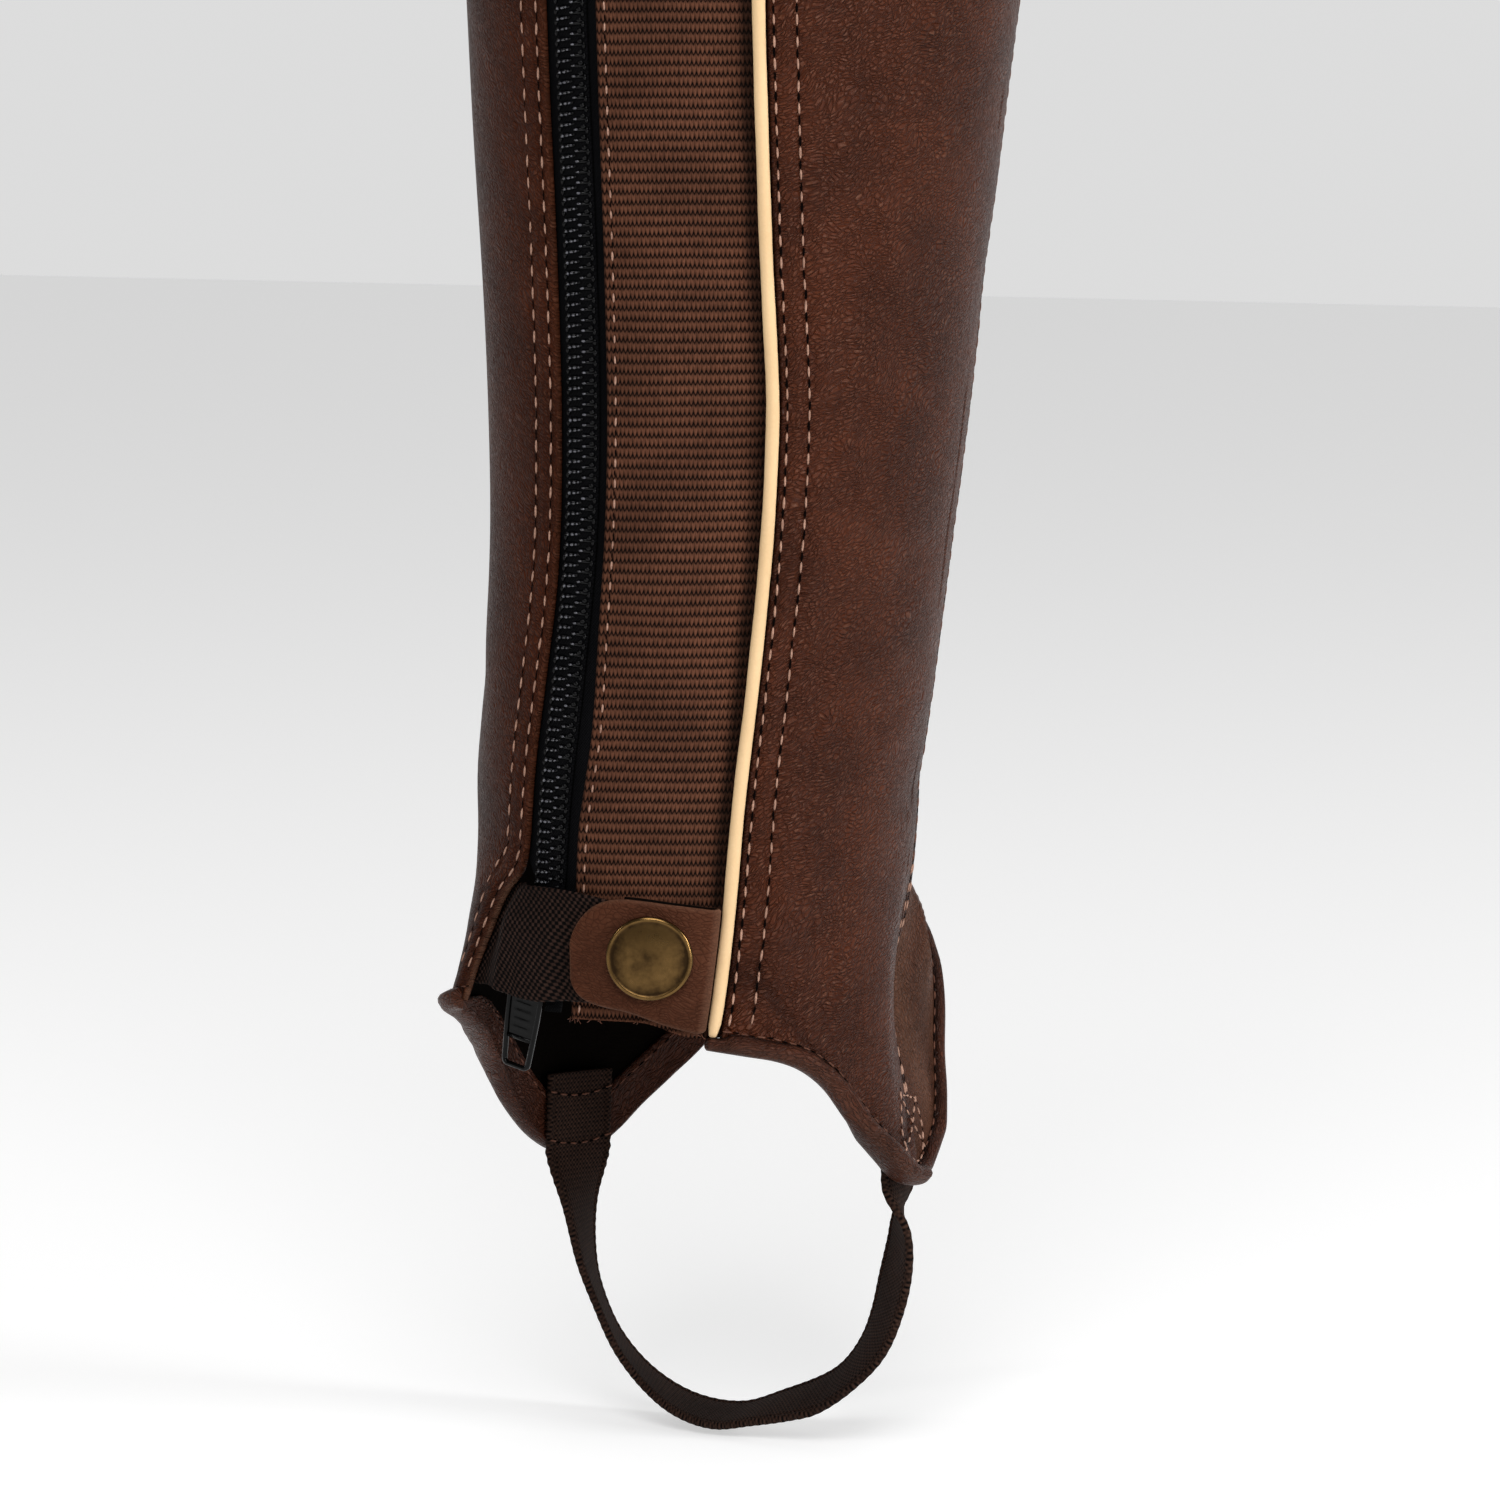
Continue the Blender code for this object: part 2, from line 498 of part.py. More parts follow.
# Press stud: a domed cap whose foot follows the tab, and the post's head inside the gusset.
def disc(name, profile, level, look, segments=28):
    """Turned piece: radius and height rows; the first and last rows are its centre."""
    points, faces = [], []
    leg_radius = 43.0
    for radius, height in profile:
        turn = np.radians(np.arange(segments) * 360 / segments)
        reach = radius * np.cos(turn) * leg_radius / (leg_radius + level)
        angle = snap_angle + degrees_of(reach, snap_angle, snap_height)
        points.append(form(angle, snap_height + radius * np.sin(turn), np.full(segments, level + height)))
    rings = np.array(points[1:-1])
    middle = [points[0].mean(0), points[-1].mean(0)]
    count = len(rings)
    faces = grid_faces(count, segments, closed=True)
    first, last = count * segments, count * segments + 1
    for k in range(segments):
        n = (k + 1) % segments
        faces.append((first, n, k))
        top = (count - 1) * segments
        faces.append((last, top + k, top + n))
    return add_object(name, np.concatenate([rings.reshape(-1, 3), middle]), faces, look)


cap_level = front_level + leaf / 2 + gap
disc("snap_cap", [(0, 0), (5.0, 0), (cap_radius - 0.3, 0), (cap_radius, 0.3), (cap_radius, 0.9),
                  (cap_radius - 0.4, 1.25), (cap_radius - 0.9, 1.3), (cap_radius - 1.3, 1.1),
                  (5.0, 1.45), (0, 1.75)], cap_level, brass)
disc("snap_post", [(0, 0), (4.2, 0), (5.0, 0.4), (5.0, 0.9), (0, 0.9)],
     under_level - gap - 0.9, brass, segments=16)


# Turned hem and top binding: a channel round the panels' edge. One row a change of the layers
# under it: angle, inside of the outer leg, outside of the inner leg, height of the inner leg.
foot_channel = np.array([
    (46, 2.0, -0.1, 1.5), (49, 2.0, -0.1, 3.6), (58, 2.0, -0.1, 3.6), (67, 2.0, -0.1, 7.0), (78, 2.0, -0.1, 8.6),
    (86, 2.0, -0.1, 9.0), (92, 2.0, -2.0, 9.0), (112.6, 2.0, -2.0, 9.0), (118.5, 0.2, -1.9, 9.0),
    (150, 0.2, -1.9, 8.0), (180, 0.2, -1.9, 6.5), (210, 0.2, -1.9, 8.0), (240, 0.2, -1.9, 8.6),
    (306, 0.2, -1.9, 8.0), (317, 0.2, -1.9, 5.5), (325, 0.2, -1.9, 2.4), (336, 0.2, -1.9, 2.0)])
top_channel = np.array([
    (0, 0.2, -1.9, 4.5), (35, 0.2, -1.9, 4.5), (39.6, 2.0, -1.9, 4.5), (50, 2.0, -1.9, 4.5),
    (54, 2.0, -0.1, 4.5), (107, 2.0, -0.1, 4.5), (112.4, 2.0, -1.9, 4.5), (129.4, 2.0, -1.9, 4.5),
    (134.5, 0.2, -1.9, 4.5), (360, 0.2, -1.9, 4.5)])


def channel(table, angle, bead):
    """Section as (distance from the edge, level) points, starting on the outer leg."""
    outer, inner, depth = (np.interp(angle, table[:, 0], table[:, k]) for k in (1, 2, 3))
    return np.array([
        (bead, outer), (bead, outer + 0.6), (bead * 0.55, outer + binding * 1.1),
        (0.7, outer + binding), (-0.15, outer + 0.1), (-0.35, (outer + inner) / 2), (-0.15, inner - 0.1),
        (0.7, inner - binding), (depth, inner - binding), (depth, inner), (binding, inner),
        (binding, outer)])


foot_turns = np.concatenate([[43.6, 46.1, 48.3], np.arange(51.8, 60, 4.0), np.arange(60, 140, 3.4), np.arange(140, 165, 2.5),
                             np.arange(166, 195, 4.0), np.arange(195, 221, 2.6),
                             np.arange(223, 312, 4.6), np.arange(313, 333, 2.8), [333.3]])
rings = []
for angle in foot_turns:
    height, turn, rise = edge_frame(angle, hem_height)
    section = channel(foot_channel, angle, np.interp(angle, (46, 48), (1.5, 3.6)))
    rings.append(form(angle + turn * section[:, 0], height + rise * section[:, 0], section[:, 1]))
sweep("hem", rings, brown_leather)

top_start = float(line(gusset_edge, top_height)) + 0.4
top_end = 360 + float(line(inner_edge, top_height)) - 0.4
corners = top_channel[(top_channel[:, 0] > top_start + 2) & (top_channel[:, 0] < top_end - 2), 0]
turns = np.unique(np.concatenate([np.linspace(top_start, top_end, 48), corners]))
turns = turns[np.append(True, np.diff(turns) > 1.0)]
turns[-1] = top_end
rings = []
for angle in turns:
    section = channel(top_channel, angle, 4.5)
    rings.append(form(np.full(len(section), angle), top_height - section[:, 0], section[:, 1]))
sweep("top_binding", rings, brown_leather)

# Foot strap: sewn inside the inner lobe, hanging as a twisted loop, sewn inside the outer lobe.
across = np.linspace(-strap_width / 2, strap_width / 2, 5)


def sewn_row(angle, height, side):
    return form(angle + side * degrees_of(across, angle, height), np.full(len(across), height),
                np.full(len(across), strap_level))


rows = [sewn_row(inner_strap_angle, h, -1) for h in (18.0, 12.0, 6.0, 1.5)]
for x, y, height, yaw, tilt in strap_route:
    yaw, tilt = math.radians(yaw), math.radians(tilt)
    width = np.array([math.sin(yaw) * math.cos(tilt), -math.cos(yaw) * math.cos(tilt), math.sin(tilt)])
    rows.append(np.array([x, y, height]) + across[:, None] * width)
rows += [sewn_row(outer_strap_angle, h, 1) for h in (0.0, 6.0, 12.0, 17.0)]
rows = np.array(rows)
lengths = np.concatenate([[0], np.cumsum(np.linalg.norm(np.diff(rows[:, 2], axis=0), axis=1))])
fine = np.linspace(0, lengths[-1], 52)
middle = np.stack([np.stack([curve(lengths, rows[:, c, k], fine) for k in range(3)], -1)
                   for c in range(len(across))], 1)
run = np.gradient(middle, axis=0)
side = np.gradient(middle, axis=1)
normal = np.cross(run, side)
normal /= np.linalg.norm(normal, axis=-1, keepdims=True)
wall("strap", middle + normal * strap_thickness / 2, middle - normal * strap_thickness / 2, dark_elastic)
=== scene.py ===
import bpy
import math
import random
import numpy as np
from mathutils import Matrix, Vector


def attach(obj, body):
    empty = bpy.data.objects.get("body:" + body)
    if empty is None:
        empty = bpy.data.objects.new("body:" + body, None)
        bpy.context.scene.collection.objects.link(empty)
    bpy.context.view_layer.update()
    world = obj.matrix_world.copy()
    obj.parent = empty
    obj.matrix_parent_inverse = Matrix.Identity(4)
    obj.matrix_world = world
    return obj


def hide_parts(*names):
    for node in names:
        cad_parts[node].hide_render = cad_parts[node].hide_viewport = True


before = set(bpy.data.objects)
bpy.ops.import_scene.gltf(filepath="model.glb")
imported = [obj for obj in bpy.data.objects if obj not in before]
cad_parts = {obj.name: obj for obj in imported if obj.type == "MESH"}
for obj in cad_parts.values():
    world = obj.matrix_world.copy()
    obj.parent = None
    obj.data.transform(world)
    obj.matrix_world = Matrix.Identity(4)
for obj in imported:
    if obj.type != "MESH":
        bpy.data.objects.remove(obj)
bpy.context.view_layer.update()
print("frame loaded:", len(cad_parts), "solids")

# The leg form. Lengths are millimetres, heights are measured up from the outer lobe's tip, and
# angles go round the leg: 0 back, 90 outer side, 180 front, -90 inner side.
originHeight = 320.0
# height, centre x, centre y, half width, back reach, front reach
legSections = np.array([
    (-12, 10.1, 7.0, 38.8, 1.09, 1.12), (12, 10.1, 7.0, 38.8, 1.09, 1.12), (36, 10.0, 7.0, 38.8, 1.09, 1.12),
    (60, 9.9, 6.9, 39.2, 1.10, 1.12), (80, 9.4, 6.5, 40.1, 1.11, 1.12), (100, 7.9, 5.4, 40.8, 1.12, 1.12),
    (125, 6.0, 4.1, 41.8, 1.12, 1.11), (150, 4.75, 3.2, 43.5, 1.12, 1.10), (180, 3.8, 2.6, 45.9, 1.11, 1.09),
    (210, 2.9, 2.0, 48.7, 1.10, 1.07), (240, 2.0, 1.4, 51.4, 1.09, 1.06), (280, 0.8, 0.6, 54.6, 1.08, 1.05),
    (320, 0.0, 0.0, 55.8, 1.08, 1.04), (360, 0.0, 0.0, 54.6, 1.08, 1.04), (410, 0.0, 0.0, 51.0, 1.07, 1.05)])
# swell of the foot part: a column an angle, a row a height
swellAngles = np.array([-180, -160, -145, -135, -120, -100, -80, -62, -50, -42, -34, -27, -18,
                        -8, 20, 80, 100, 110, 118, 126, 134, 142, 150, 160, 180], float)
swellHeights = np.array([-6, 6, 16, 26, 36, 44, 52, 62, 74], float)
swellTable = np.array([
    (16, 13, 8, 5, 3.4, 2.8, 3.2, 2.6, 2.3, 3, 4.2, 4, 2, .2, 0, 0, 3, 3.8, 4.6, 5.8, 7.4, 9.2, 11.2, 13.6, 16),
    (16, 13, 8, 5, 3, 2.6, 3, 2.6, 2.3, 3, 4.2, 4, 2, .2, 0, 0, 2.6, 3.2, 3.8, 5.2, 7, 9, 11.2, 13.6, 16),
    (16, 13, 7.8, 4.4, 2.4, 2.2, 2.6, 2.0, 1.9, 3.4, 5.6, 5.4, 2.4, .2, 0, 0, 1.6, 1.4, 1.6, 3.6, 6.2, 8.6, 11, 13.6, 16),
    (15, 12, 7, 3.6, 1.4, 1.6, 2.2, 1.8, 2.2, 4.5, 8, 7.6, 3, .3, 0, 0, .8, -.4, -1.4, 0, 3.6, 7.3, 10.5, 12.8, 15),
    (14, 11.3, 6.2, 2.8, .6, 1.2, 1.8, 1.9, 2.5, 4.9, 8.9, 8.6, 3.2, .3, 0, 0, .5, -1.4, -3.6, -2.8, 1.2, 6.4, 10.2, 12.6, 14),
    (12.2, 9.8, 5, 2, 0, .9, 1.4, 1.9, 2.9, 4.6, 6.6, 6.2, 2.4, .3, 0, 0, .3, -1.2, -3.1, -2.3, 1.4, 6.2, 9.4, 11.4, 12.2),
    (9.6, 7.4, 3.5, 1, -.5, .6, .9, 1.4, 2.3, 3.3, 4.0, 3.6, 1.4, .2, 0, 0, 0, -.5, -1.7, -.4, 2.3, 5.2, 7.4, 9, 9.6),
    (2.4, 1, .5, 0, 0, .2, .2, .4, .8, 1.2, 1.6, 1.4, .6, 0, 0, 0, 0, 0, -.3, 0, .5, 1.0, 1.6, 2.1, 2.4),
    (0,) * 25])
# angle, height of the bottom edge
hemLine = np.array([
    (-180, 54), (-170, 51), (-160, 43), (-152, 31.5), (-145, 23), (-135, 15.5), (-126, 9.6),
    (-119, 4.8), (-111, 1.2), (-102, 1.4), (-93, 5.0), (-82, 12.6), (-74, 18.8), (-64, 24.4),
    (-54, 28.2), (-44, 32.4), (-36, 35.7), (-28, 37.6), (-15, 38.2), (0, 37.2), (20, 35.4),
    (33, 33.6), (42, 32.3), (52, 30.9), (62, 29.3), (70, 26.8), (78, 22.4), (86, 15.8),
    (94, 10.1), (103, 4.4), (112, 1.4), (121, 2.0), (128, 4.6), (135, 8), (142, 15), (147, 21.5),
    (152, 31), (160, 43.5), (170, 51), (180, 54)], float)
# seams that run up the leg: height, angle
zipLine = np.array([(20, -12.9), (34, -10.3), (44, -7.9), (54, -5.2), (63, -3.0), (89, 0.5),
                    (116, 2.3), (146, 3.1), (172, 2.7), (227, 0.9), (300, 0.0), (410, 0.0)])
innerEdge = np.array([(20, -26.2), (42, -26.2), (47, -25.7), (52, -24.3), (57, -21.9),
                      (60.5, -18.7), (63.5, -13.9), (70, -11.0), (89, -8.3), (116, -5.0),
                      (146, -4.2), (172, -4.7), (227, -6.2), (300, -6.7), (410, -7.2)])
gussetEdge = np.array([(20, 3.6), (40, 3.8), (62, 5.9), (73, 7.1), (82, 8.9), (92, 10.1),
                       (116, 9.8), (146, 10.0), (172, 9.3), (227, 7.4), (300, 6.4), (410, 6.8)])
pipingLine = np.array([(20, 41.2), (35, 44.0), (42, 45.5), (56, 47.8), (72, 49.3), (87, 50.2),
                       (102, 50.6), (131, 50.4), (146, 49.9), (154, 49.4), (168, 47.7),
                       (183, 45.9), (198, 44.4), (212, 43.1), (227, 41.9), (260, 40.0),
                       (320, 38.4), (410, 40.4)])
frontSeam = np.array([(-10, 110.0), (8, 112.0), (18, 114.5), (30, 118.0), (44, 122.0),
                      (60, 125.0), (80, 126.5), (140, 128.0), (410, 128.0)])
bandEdges = np.array([(-36, 43.2, 61.2), (-24, 42.4, 61.4), (-5, 40.8, 62.0), (9, 40.7, 61.4),
                      (20, 40.4, 59.9), (40, 38.2, 57.6)])
tabEdges = np.array([(7.2, 45.6, 51.8), (8.3, 43.4, 54.4), (10.3, 41.8, 56.8), (13.3, 40.8, 59.0),
                     (17.3, 40.1, 60.4), (22.3, 39.4, 60.8), (33.6, 36.9, 59.7), (46.0, 34.7, 58.3)])
# soft creases: angle, height, half length, half width, slope, depth (+ is a ridge)
creases = [
    (61, 60, 20, 7.0, 84, 0.45), (74, 52, 16, 4.5, 66, -0.35), (84, 66, 18, 5.0, 28, 0.25),
    (58, 98, 16, 5.0, 82, -0.25), (66, 150, 34, 9.0, 86, 0.35), (92, 120, 22, 6.0, 32, -0.30),
    (104, 92, 15, 4.5, 24, 0.30), (118, 78, 16, 4.0, 12, -0.40), (98, 225, 40, 10.0, 76, 0.35),
    (132, 180, 30, 7.0, 40, -0.30), (78, 300, 44, 12.0, 84, -0.35), (120, 320, 36, 10.0, 70, 0.30),
    (150, 52, 10, 1.7, -62, -0.95), (156, 56, 10, 1.7, -58, 0.75), (163, 60, 11, 1.8, -50, -0.85),
    (141, 47, 9, 1.5, -66, 0.65), (145, 50, 9, 1.4, -64, -0.5), (176, 74, 18, 3.0, 4, -0.60), (184, 84, 20, 3.4, -6, 0.45),
    (170, 96, 18, 3.6, 8, -0.45), (198, 70, 14, 3.0, 16, 0.40), (-142, 78, 16, 3.4, -18, -0.50),
    (-118, 66, 15, 3.6, -26, 0.40), (-104, 84, 16, 4.0, -20, -0.35), (-84, 58, 14, 3.4, -34, -0.40),
    (-66, 50, 12, 3.4, -42, 0.30), (-48, 76, 16, 4.4, -64, 0.35), (-58, 104, 18, 5.0, -30, -0.35),
    (-80, 134, 22, 6.0, -24, 0.30), (-120, 160, 30, 8.0, -40, -0.35), (-60, 210, 34, 9.0, -78, 0.35),
    (-98, 260, 40, 11.0, -84, -0.35), (-140, 250, 34, 9.0, 80, 0.30), (-70, 330, 30, 9.0, -74, 0.30),
    (176, 300, 44, 12.0, 88, -0.30), (170, 200, 34, 9.0, 86, 0.30)]


def smoothLine(xs, ys, x):
    x = np.asarray(x, float)
    step = np.diff(ys) / np.diff(xs)
    slope = np.concatenate([step[:1], (ys[2:] - ys[:-2]) / (xs[2:] - xs[:-2]), step[-1:]])
    i = np.clip(np.searchsorted(xs, x) - 1, 0, len(xs) - 2)
    width = xs[i + 1] - xs[i]
    t = np.clip((x - xs[i]) / width, 0, 1)
    return ((2 * t**3 - 3 * t**2 + 1) * ys[i] + (t**3 - 2 * t**2 + t) * width * slope[i]
            + (3 * t**2 - 2 * t**3) * ys[i + 1] + (t**3 - t**2) * width * slope[i + 1])


def readLine(table, x, column=1):
    return smoothLine(table[:, 0], table[:, column], x)


def ease(a, b, x):
    t = np.clip((np.asarray(x, float) - a) / (b - a), 0, 1)
    return t * t * (3 - 2 * t)


def wrapAngle(angle):
    return (np.asarray(angle, float) + 180) % 360 - 180


def hemHeight(angle):
    return readLine(hemLine, wrapAngle(angle))


def swellAt(angle, height):
    h = np.clip(height, swellHeights[0], swellHeights[-1])
    rows = np.stack([smoothLine(swellAngles, row, angle) for row in swellTable])
    slope = np.zeros_like(rows)
    span = (swellHeights[2:] - swellHeights[:-2]).reshape((-1,) + (1,) * h.ndim)
    slope[1:-1] = (rows[2:] - rows[:-2]) / span
    i = np.clip(np.searchsorted(swellHeights, h) - 1, 0, len(swellHeights) - 2)
    pick = lambda table, k: np.take_along_axis(table, k[None], 0)[0]
    width = swellHeights[i + 1] - swellHeights[i]
    t = (h - swellHeights[i]) / width
    return ((2 * t**3 - 3 * t**2 + 1) * pick(rows, i) + (t**3 - 2 * t**2 + t) * width * pick(slope, i)
            + (3 * t**2 - 2 * t**3) * pick(rows, i + 1) + (t**3 - t**2) * width * pick(slope, i + 1))


def creaseAt(angle, height):
    lift = np.zeros(np.broadcast(angle, height).shape)
    for a, h, halfLength, halfWidth, slope, depth in creases:
        across = wrapAngle(np.subtract(angle, a)) * 0.78
        up = np.subtract(height, h)
        turn = math.radians(slope)
        along = across * math.cos(turn) + up * math.sin(turn)
        away = up * math.cos(turn) - across * math.sin(turn) + 0.006 * along**2
        lift += depth * np.exp(-(away / halfWidth)**2 - (along / halfLength)**4)
    return lift


def legPoint(angle, height):
    angle, height = np.broadcast_arrays(np.asarray(angle, float), np.asarray(height, float))
    cx, cy, side, back, front = (readLine(legSections, height, k) for k in range(1, 6))
    s, c = np.sin(np.radians(angle)), np.cos(np.radians(angle))
    out = swellAt(wrapAngle(angle), height)
    reach = side * np.where(c > 0, back, front)
    return np.stack([cx - (side + out) * s, cy + (reach + out) * c, height], -1)


def formPoint(angle, height, level=0.0, creased=True):
    point = legPoint(angle, height)
    roundLeg = legPoint(np.add(angle, 0.5), height) - legPoint(np.subtract(angle, 0.5), height)
    upLeg = legPoint(angle, np.add(height, 0.75)) - legPoint(angle, np.subtract(height, 0.75))
    normal = np.cross(roundLeg, upLeg)
    normal /= np.linalg.norm(normal, axis=-1, keepdims=True)
    lift = creaseAt(angle, height) if creased else 0.0
    return point + normal * np.asarray(level + lift, float)[..., None]


def degreesOf(length, angle, height):
    step = legPoint(np.add(angle, 0.5), height) - legPoint(np.subtract(angle, 0.5), height)
    return length / np.linalg.norm(step, axis=-1)


def beside(table, height, across):
    angle = readLine(table, height)
    return angle + degreesOf(across, angle, height)


def edgeFrame(angle, heightOf):
    # for points along the hem's edge: its height, and the turn and rise of one millimetre away from it
    height = heightOf(angle)
    along = legPoint(angle + 0.5, heightOf(angle + 0.5)) - legPoint(angle - 0.5, heightOf(angle - 0.5))
    roundLeg = legPoint(angle + 0.5, height) - legPoint(angle - 0.5, height)
    upLeg = (legPoint(angle, height + 0.75) - legPoint(angle, height - 0.75)) / 1.5
    away = np.cross(np.cross(roundLeg, upLeg), along)
    away /= np.linalg.norm(away, axis=-1, keepdims=True)
    rr, uu, ru = (roundLeg**2).sum(-1), (upLeg**2).sum(-1), (roundLeg * upLeg).sum(-1)
    ra, ua = (roundLeg * away).sum(-1), (upLeg * away).sum(-1)
    return height, (ra * uu - ua * ru) / (rr * uu - ru**2), (ua * rr - ra * ru) / (rr * uu - ru**2)


def insetLine(margin, step=1.0):
    angle = np.arange(-180, 180, step)
    height, turn, rise = edgeFrame(angle, hemHeight)
    rows = np.stack([angle + turn * margin, height + rise * margin], 1)
    rows = rows[np.argsort(rows[:, 0])]
    return np.vstack([rows[-1] - (360, 0), rows, rows[0] + (360, 0)])


# Nodes and materials
def tone(r, g, b, gain=1.0):
    channels = [((v / 255 + 0.055) / 1.055)**2.4 if v > 10 else v / 255 / 12.92 for v in (r, g, b)]
    return (*[min(1.0, v * gain) for v in channels], 1.0)


def addNode(tree, kind, inputs=None, **settings):
    item = tree.nodes.new(kind)
    for key, value in settings.items():
        setattr(item, key, value)
    for key, value in (inputs or {}).items():
        if isinstance(value, bpy.types.NodeSocket):
            tree.links.new(value, item.inputs[key])
        else:
            item.inputs[key].default_value = value
    return item


def calc(tree, operation, a, b=0.0, c=0.0):
    return addNode(tree, "ShaderNodeMath", {0: a, 1: b, 2: c}, operation=operation).outputs[0]


def mixTone(tree, factor, a, b):
    item = addNode(tree, "ShaderNodeMix", {0: factor, 6: a, 7: b}, data_type="RGBA")
    return item.outputs[2]


def spread(tree, value, low, high, toLow=0.0, toHigh=1.0):
    return addNode(tree, "ShaderNodeMapRange", {0: value, 1: low, 2: high, 3: toLow, 4: toHigh},
                   interpolation_type="SMOOTHSTEP").outputs[0]


def startMaterial(name, roughness=0.5, metallic=0.0, specular=0.5):
    look = bpy.data.materials.new(name)
    look.use_nodes = True
    tree = look.node_tree
    shader = tree.nodes["Principled BSDF"]
    shader.inputs["Roughness"].default_value = roughness
    shader.inputs["Metallic"].default_value = metallic
    shader.inputs["Specular IOR Level"].default_value = specular
    return look, tree, shader


def bump(tree, height, distance, strength=1.0, normal=None):
    inputs = {"Height": height, "Distance": distance * 0.001, "Strength": strength}
    if normal is not None:
        inputs["Normal"] = normal
    return addNode(tree, "ShaderNodeBump", inputs).outputs[0]


def clothCoordinates(tree):
    return addNode(tree, "ShaderNodeUVMap", uv_map="cloth").outputs[0]


def mapping(tree, vector, scale=(1, 1, 1), turn=0.0):
    return addNode(tree, "ShaderNodeMapping", {"Vector": vector, "Scale": scale,
                                               "Rotation": (0, 0, math.radians(turn))}).outputs[0]


def noise(tree, vector, scale, detail=2.0, roughness=0.5, distortion=0.0):
    return addNode(tree, "ShaderNodeTexNoise", {"Vector": vector, "Scale": scale, "Detail": detail,
                                                "Roughness": roughness, "Distortion": distortion}).outputs[0]


def makeLeather(name, look):
    material, tree, shader = startMaterial(name, specular=look["shine"])
    flat = clothCoordinates(tree)
    drift = addNode(tree, "ShaderNodeTexNoise", {"Vector": flat, "Scale": 0.09, "Detail": 2.0}).outputs["Color"]
    bent = addNode(tree, "ShaderNodeVectorMath", {0: drift, 1: (look["drift"], look["drift"], 0), 2: flat}, operation="MULTIPLY_ADD").outputs[0]
    turned = mapping(tree, bent, turn=look["grainTurn"])
    wrinkle = addNode(tree, "ShaderNodeTexVoronoi", {"Vector": mapping(tree, turned, (1 / look["grainLength"], 1 / look["grainWidth"], 1)),
                                                     "Scale": 1.0}, feature="DISTANCE_TO_EDGE").outputs[0]
    streaks = noise(tree, mapping(tree, turned, (1.4 / look["grainLength"], 1.4 / look["grainWidth"], 1)), 1.0, 4.0, 0.65, 0.6)
    pores = addNode(tree, "ShaderNodeTexVoronoi", {"Vector": turned, "Scale": 1 / look["poreSize"]}, feature="DISTANCE_TO_EDGE").outputs[0]
    blotches = noise(tree, flat, 0.045, 3.0)
    mottle = noise(tree, flat, 0.42, 4.0, 0.6)
    zone = noise(tree, flat, 0.07, 1.0)            # where the grain shows more
    base = mixTone(tree, spread(tree, blotches, 0.3, 0.7), tone(*look["dark"]), tone(*look["middle"]))
    base = mixTone(tree, spread(tree, mottle, 0.3, 0.8, 0.0, 0.45), base, tone(*look["middle"]))
    # painted highlight: light streaks on the grain's raised ridges, stronger where zone is high
    raised = calc(tree, "MULTIPLY", spread(tree, streaks, 0.46, 0.72), spread(tree, wrinkle, 0.02, 0.16))
    ridgeHighlight = calc(tree, "MULTIPLY", raised, spread(tree, zone, 0.35, 0.65, look["grainHighlight"] * 0.55, look["grainHighlight"]))
    base = mixTone(tree, ridgeHighlight, base, tone(*look["light"]))
    # painted shade: darker lines in the grain's wrinkle valleys
    base = mixTone(tree, spread(tree, wrinkle, 0.0, 0.09, look["lines"], 0.0), base, tone(*look["dark"], 0.55))
    # lighter towards the worn tone by a per-point attribute: rubbed wear on the snap tab, painted highlight along the
    # front seam, the folded zip edge, the hem's bead and the tab's fold, and painted light over the front of the foot
    wornAndLit = addNode(tree, "ShaderNodeAttribute", attribute_name="wearAndPaintedLight").outputs["Fac"]
    base = mixTone(tree, calc(tree, "MULTIPLY", wornAndLit, 0.6), base, tone(*look["wornAndLit"]))
    shaded = addNode(tree, "ShaderNodeAttribute", attribute_name="shaded").outputs["Fac"]
    base = mixTone(tree, shaded, base, tone(*look["dark"], 0.35))
    tree.links.new(base, shader.inputs["Base Color"])
    uneven = calc(tree, "ADD", calc(tree, "MULTIPLY", streaks, 0.7), calc(tree, "MULTIPLY", mottle, 0.3))
    tree.links.new(spread(tree, uneven, 0.3, 0.75, look["roughness"] + 0.12, look["roughness"] - 0.06), shader.inputs["Roughness"])
    normal = bump(tree, spread(tree, wrinkle, 0.0, 0.22), look["grainDepth"])
    normal = bump(tree, pores, look["poreDepth"], normal=normal)
    normal = bump(tree, streaks, look["grainDepth"], 0.3, normal)
    normal = bump(tree, mottle, look["grainDepth"] * 1.5, 0.7, normal)
    tree.links.new(normal, shader.inputs["Normal"])
    return material


def makeSuede(name, colour, light):
    material, tree, shader = startMaterial(name, 0.9, specular=0.02)
    flat = clothCoordinates(tree)
    nap = noise(tree, flat, 2.2, 5.0, 0.7)
    tree.links.new(mixTone(tree, spread(tree, nap, 0.3, 0.75), tone(*colour), tone(*light)), shader.inputs["Base Color"])
    tree.links.new(bump(tree, nap, 0.12), shader.inputs["Normal"])
    return material


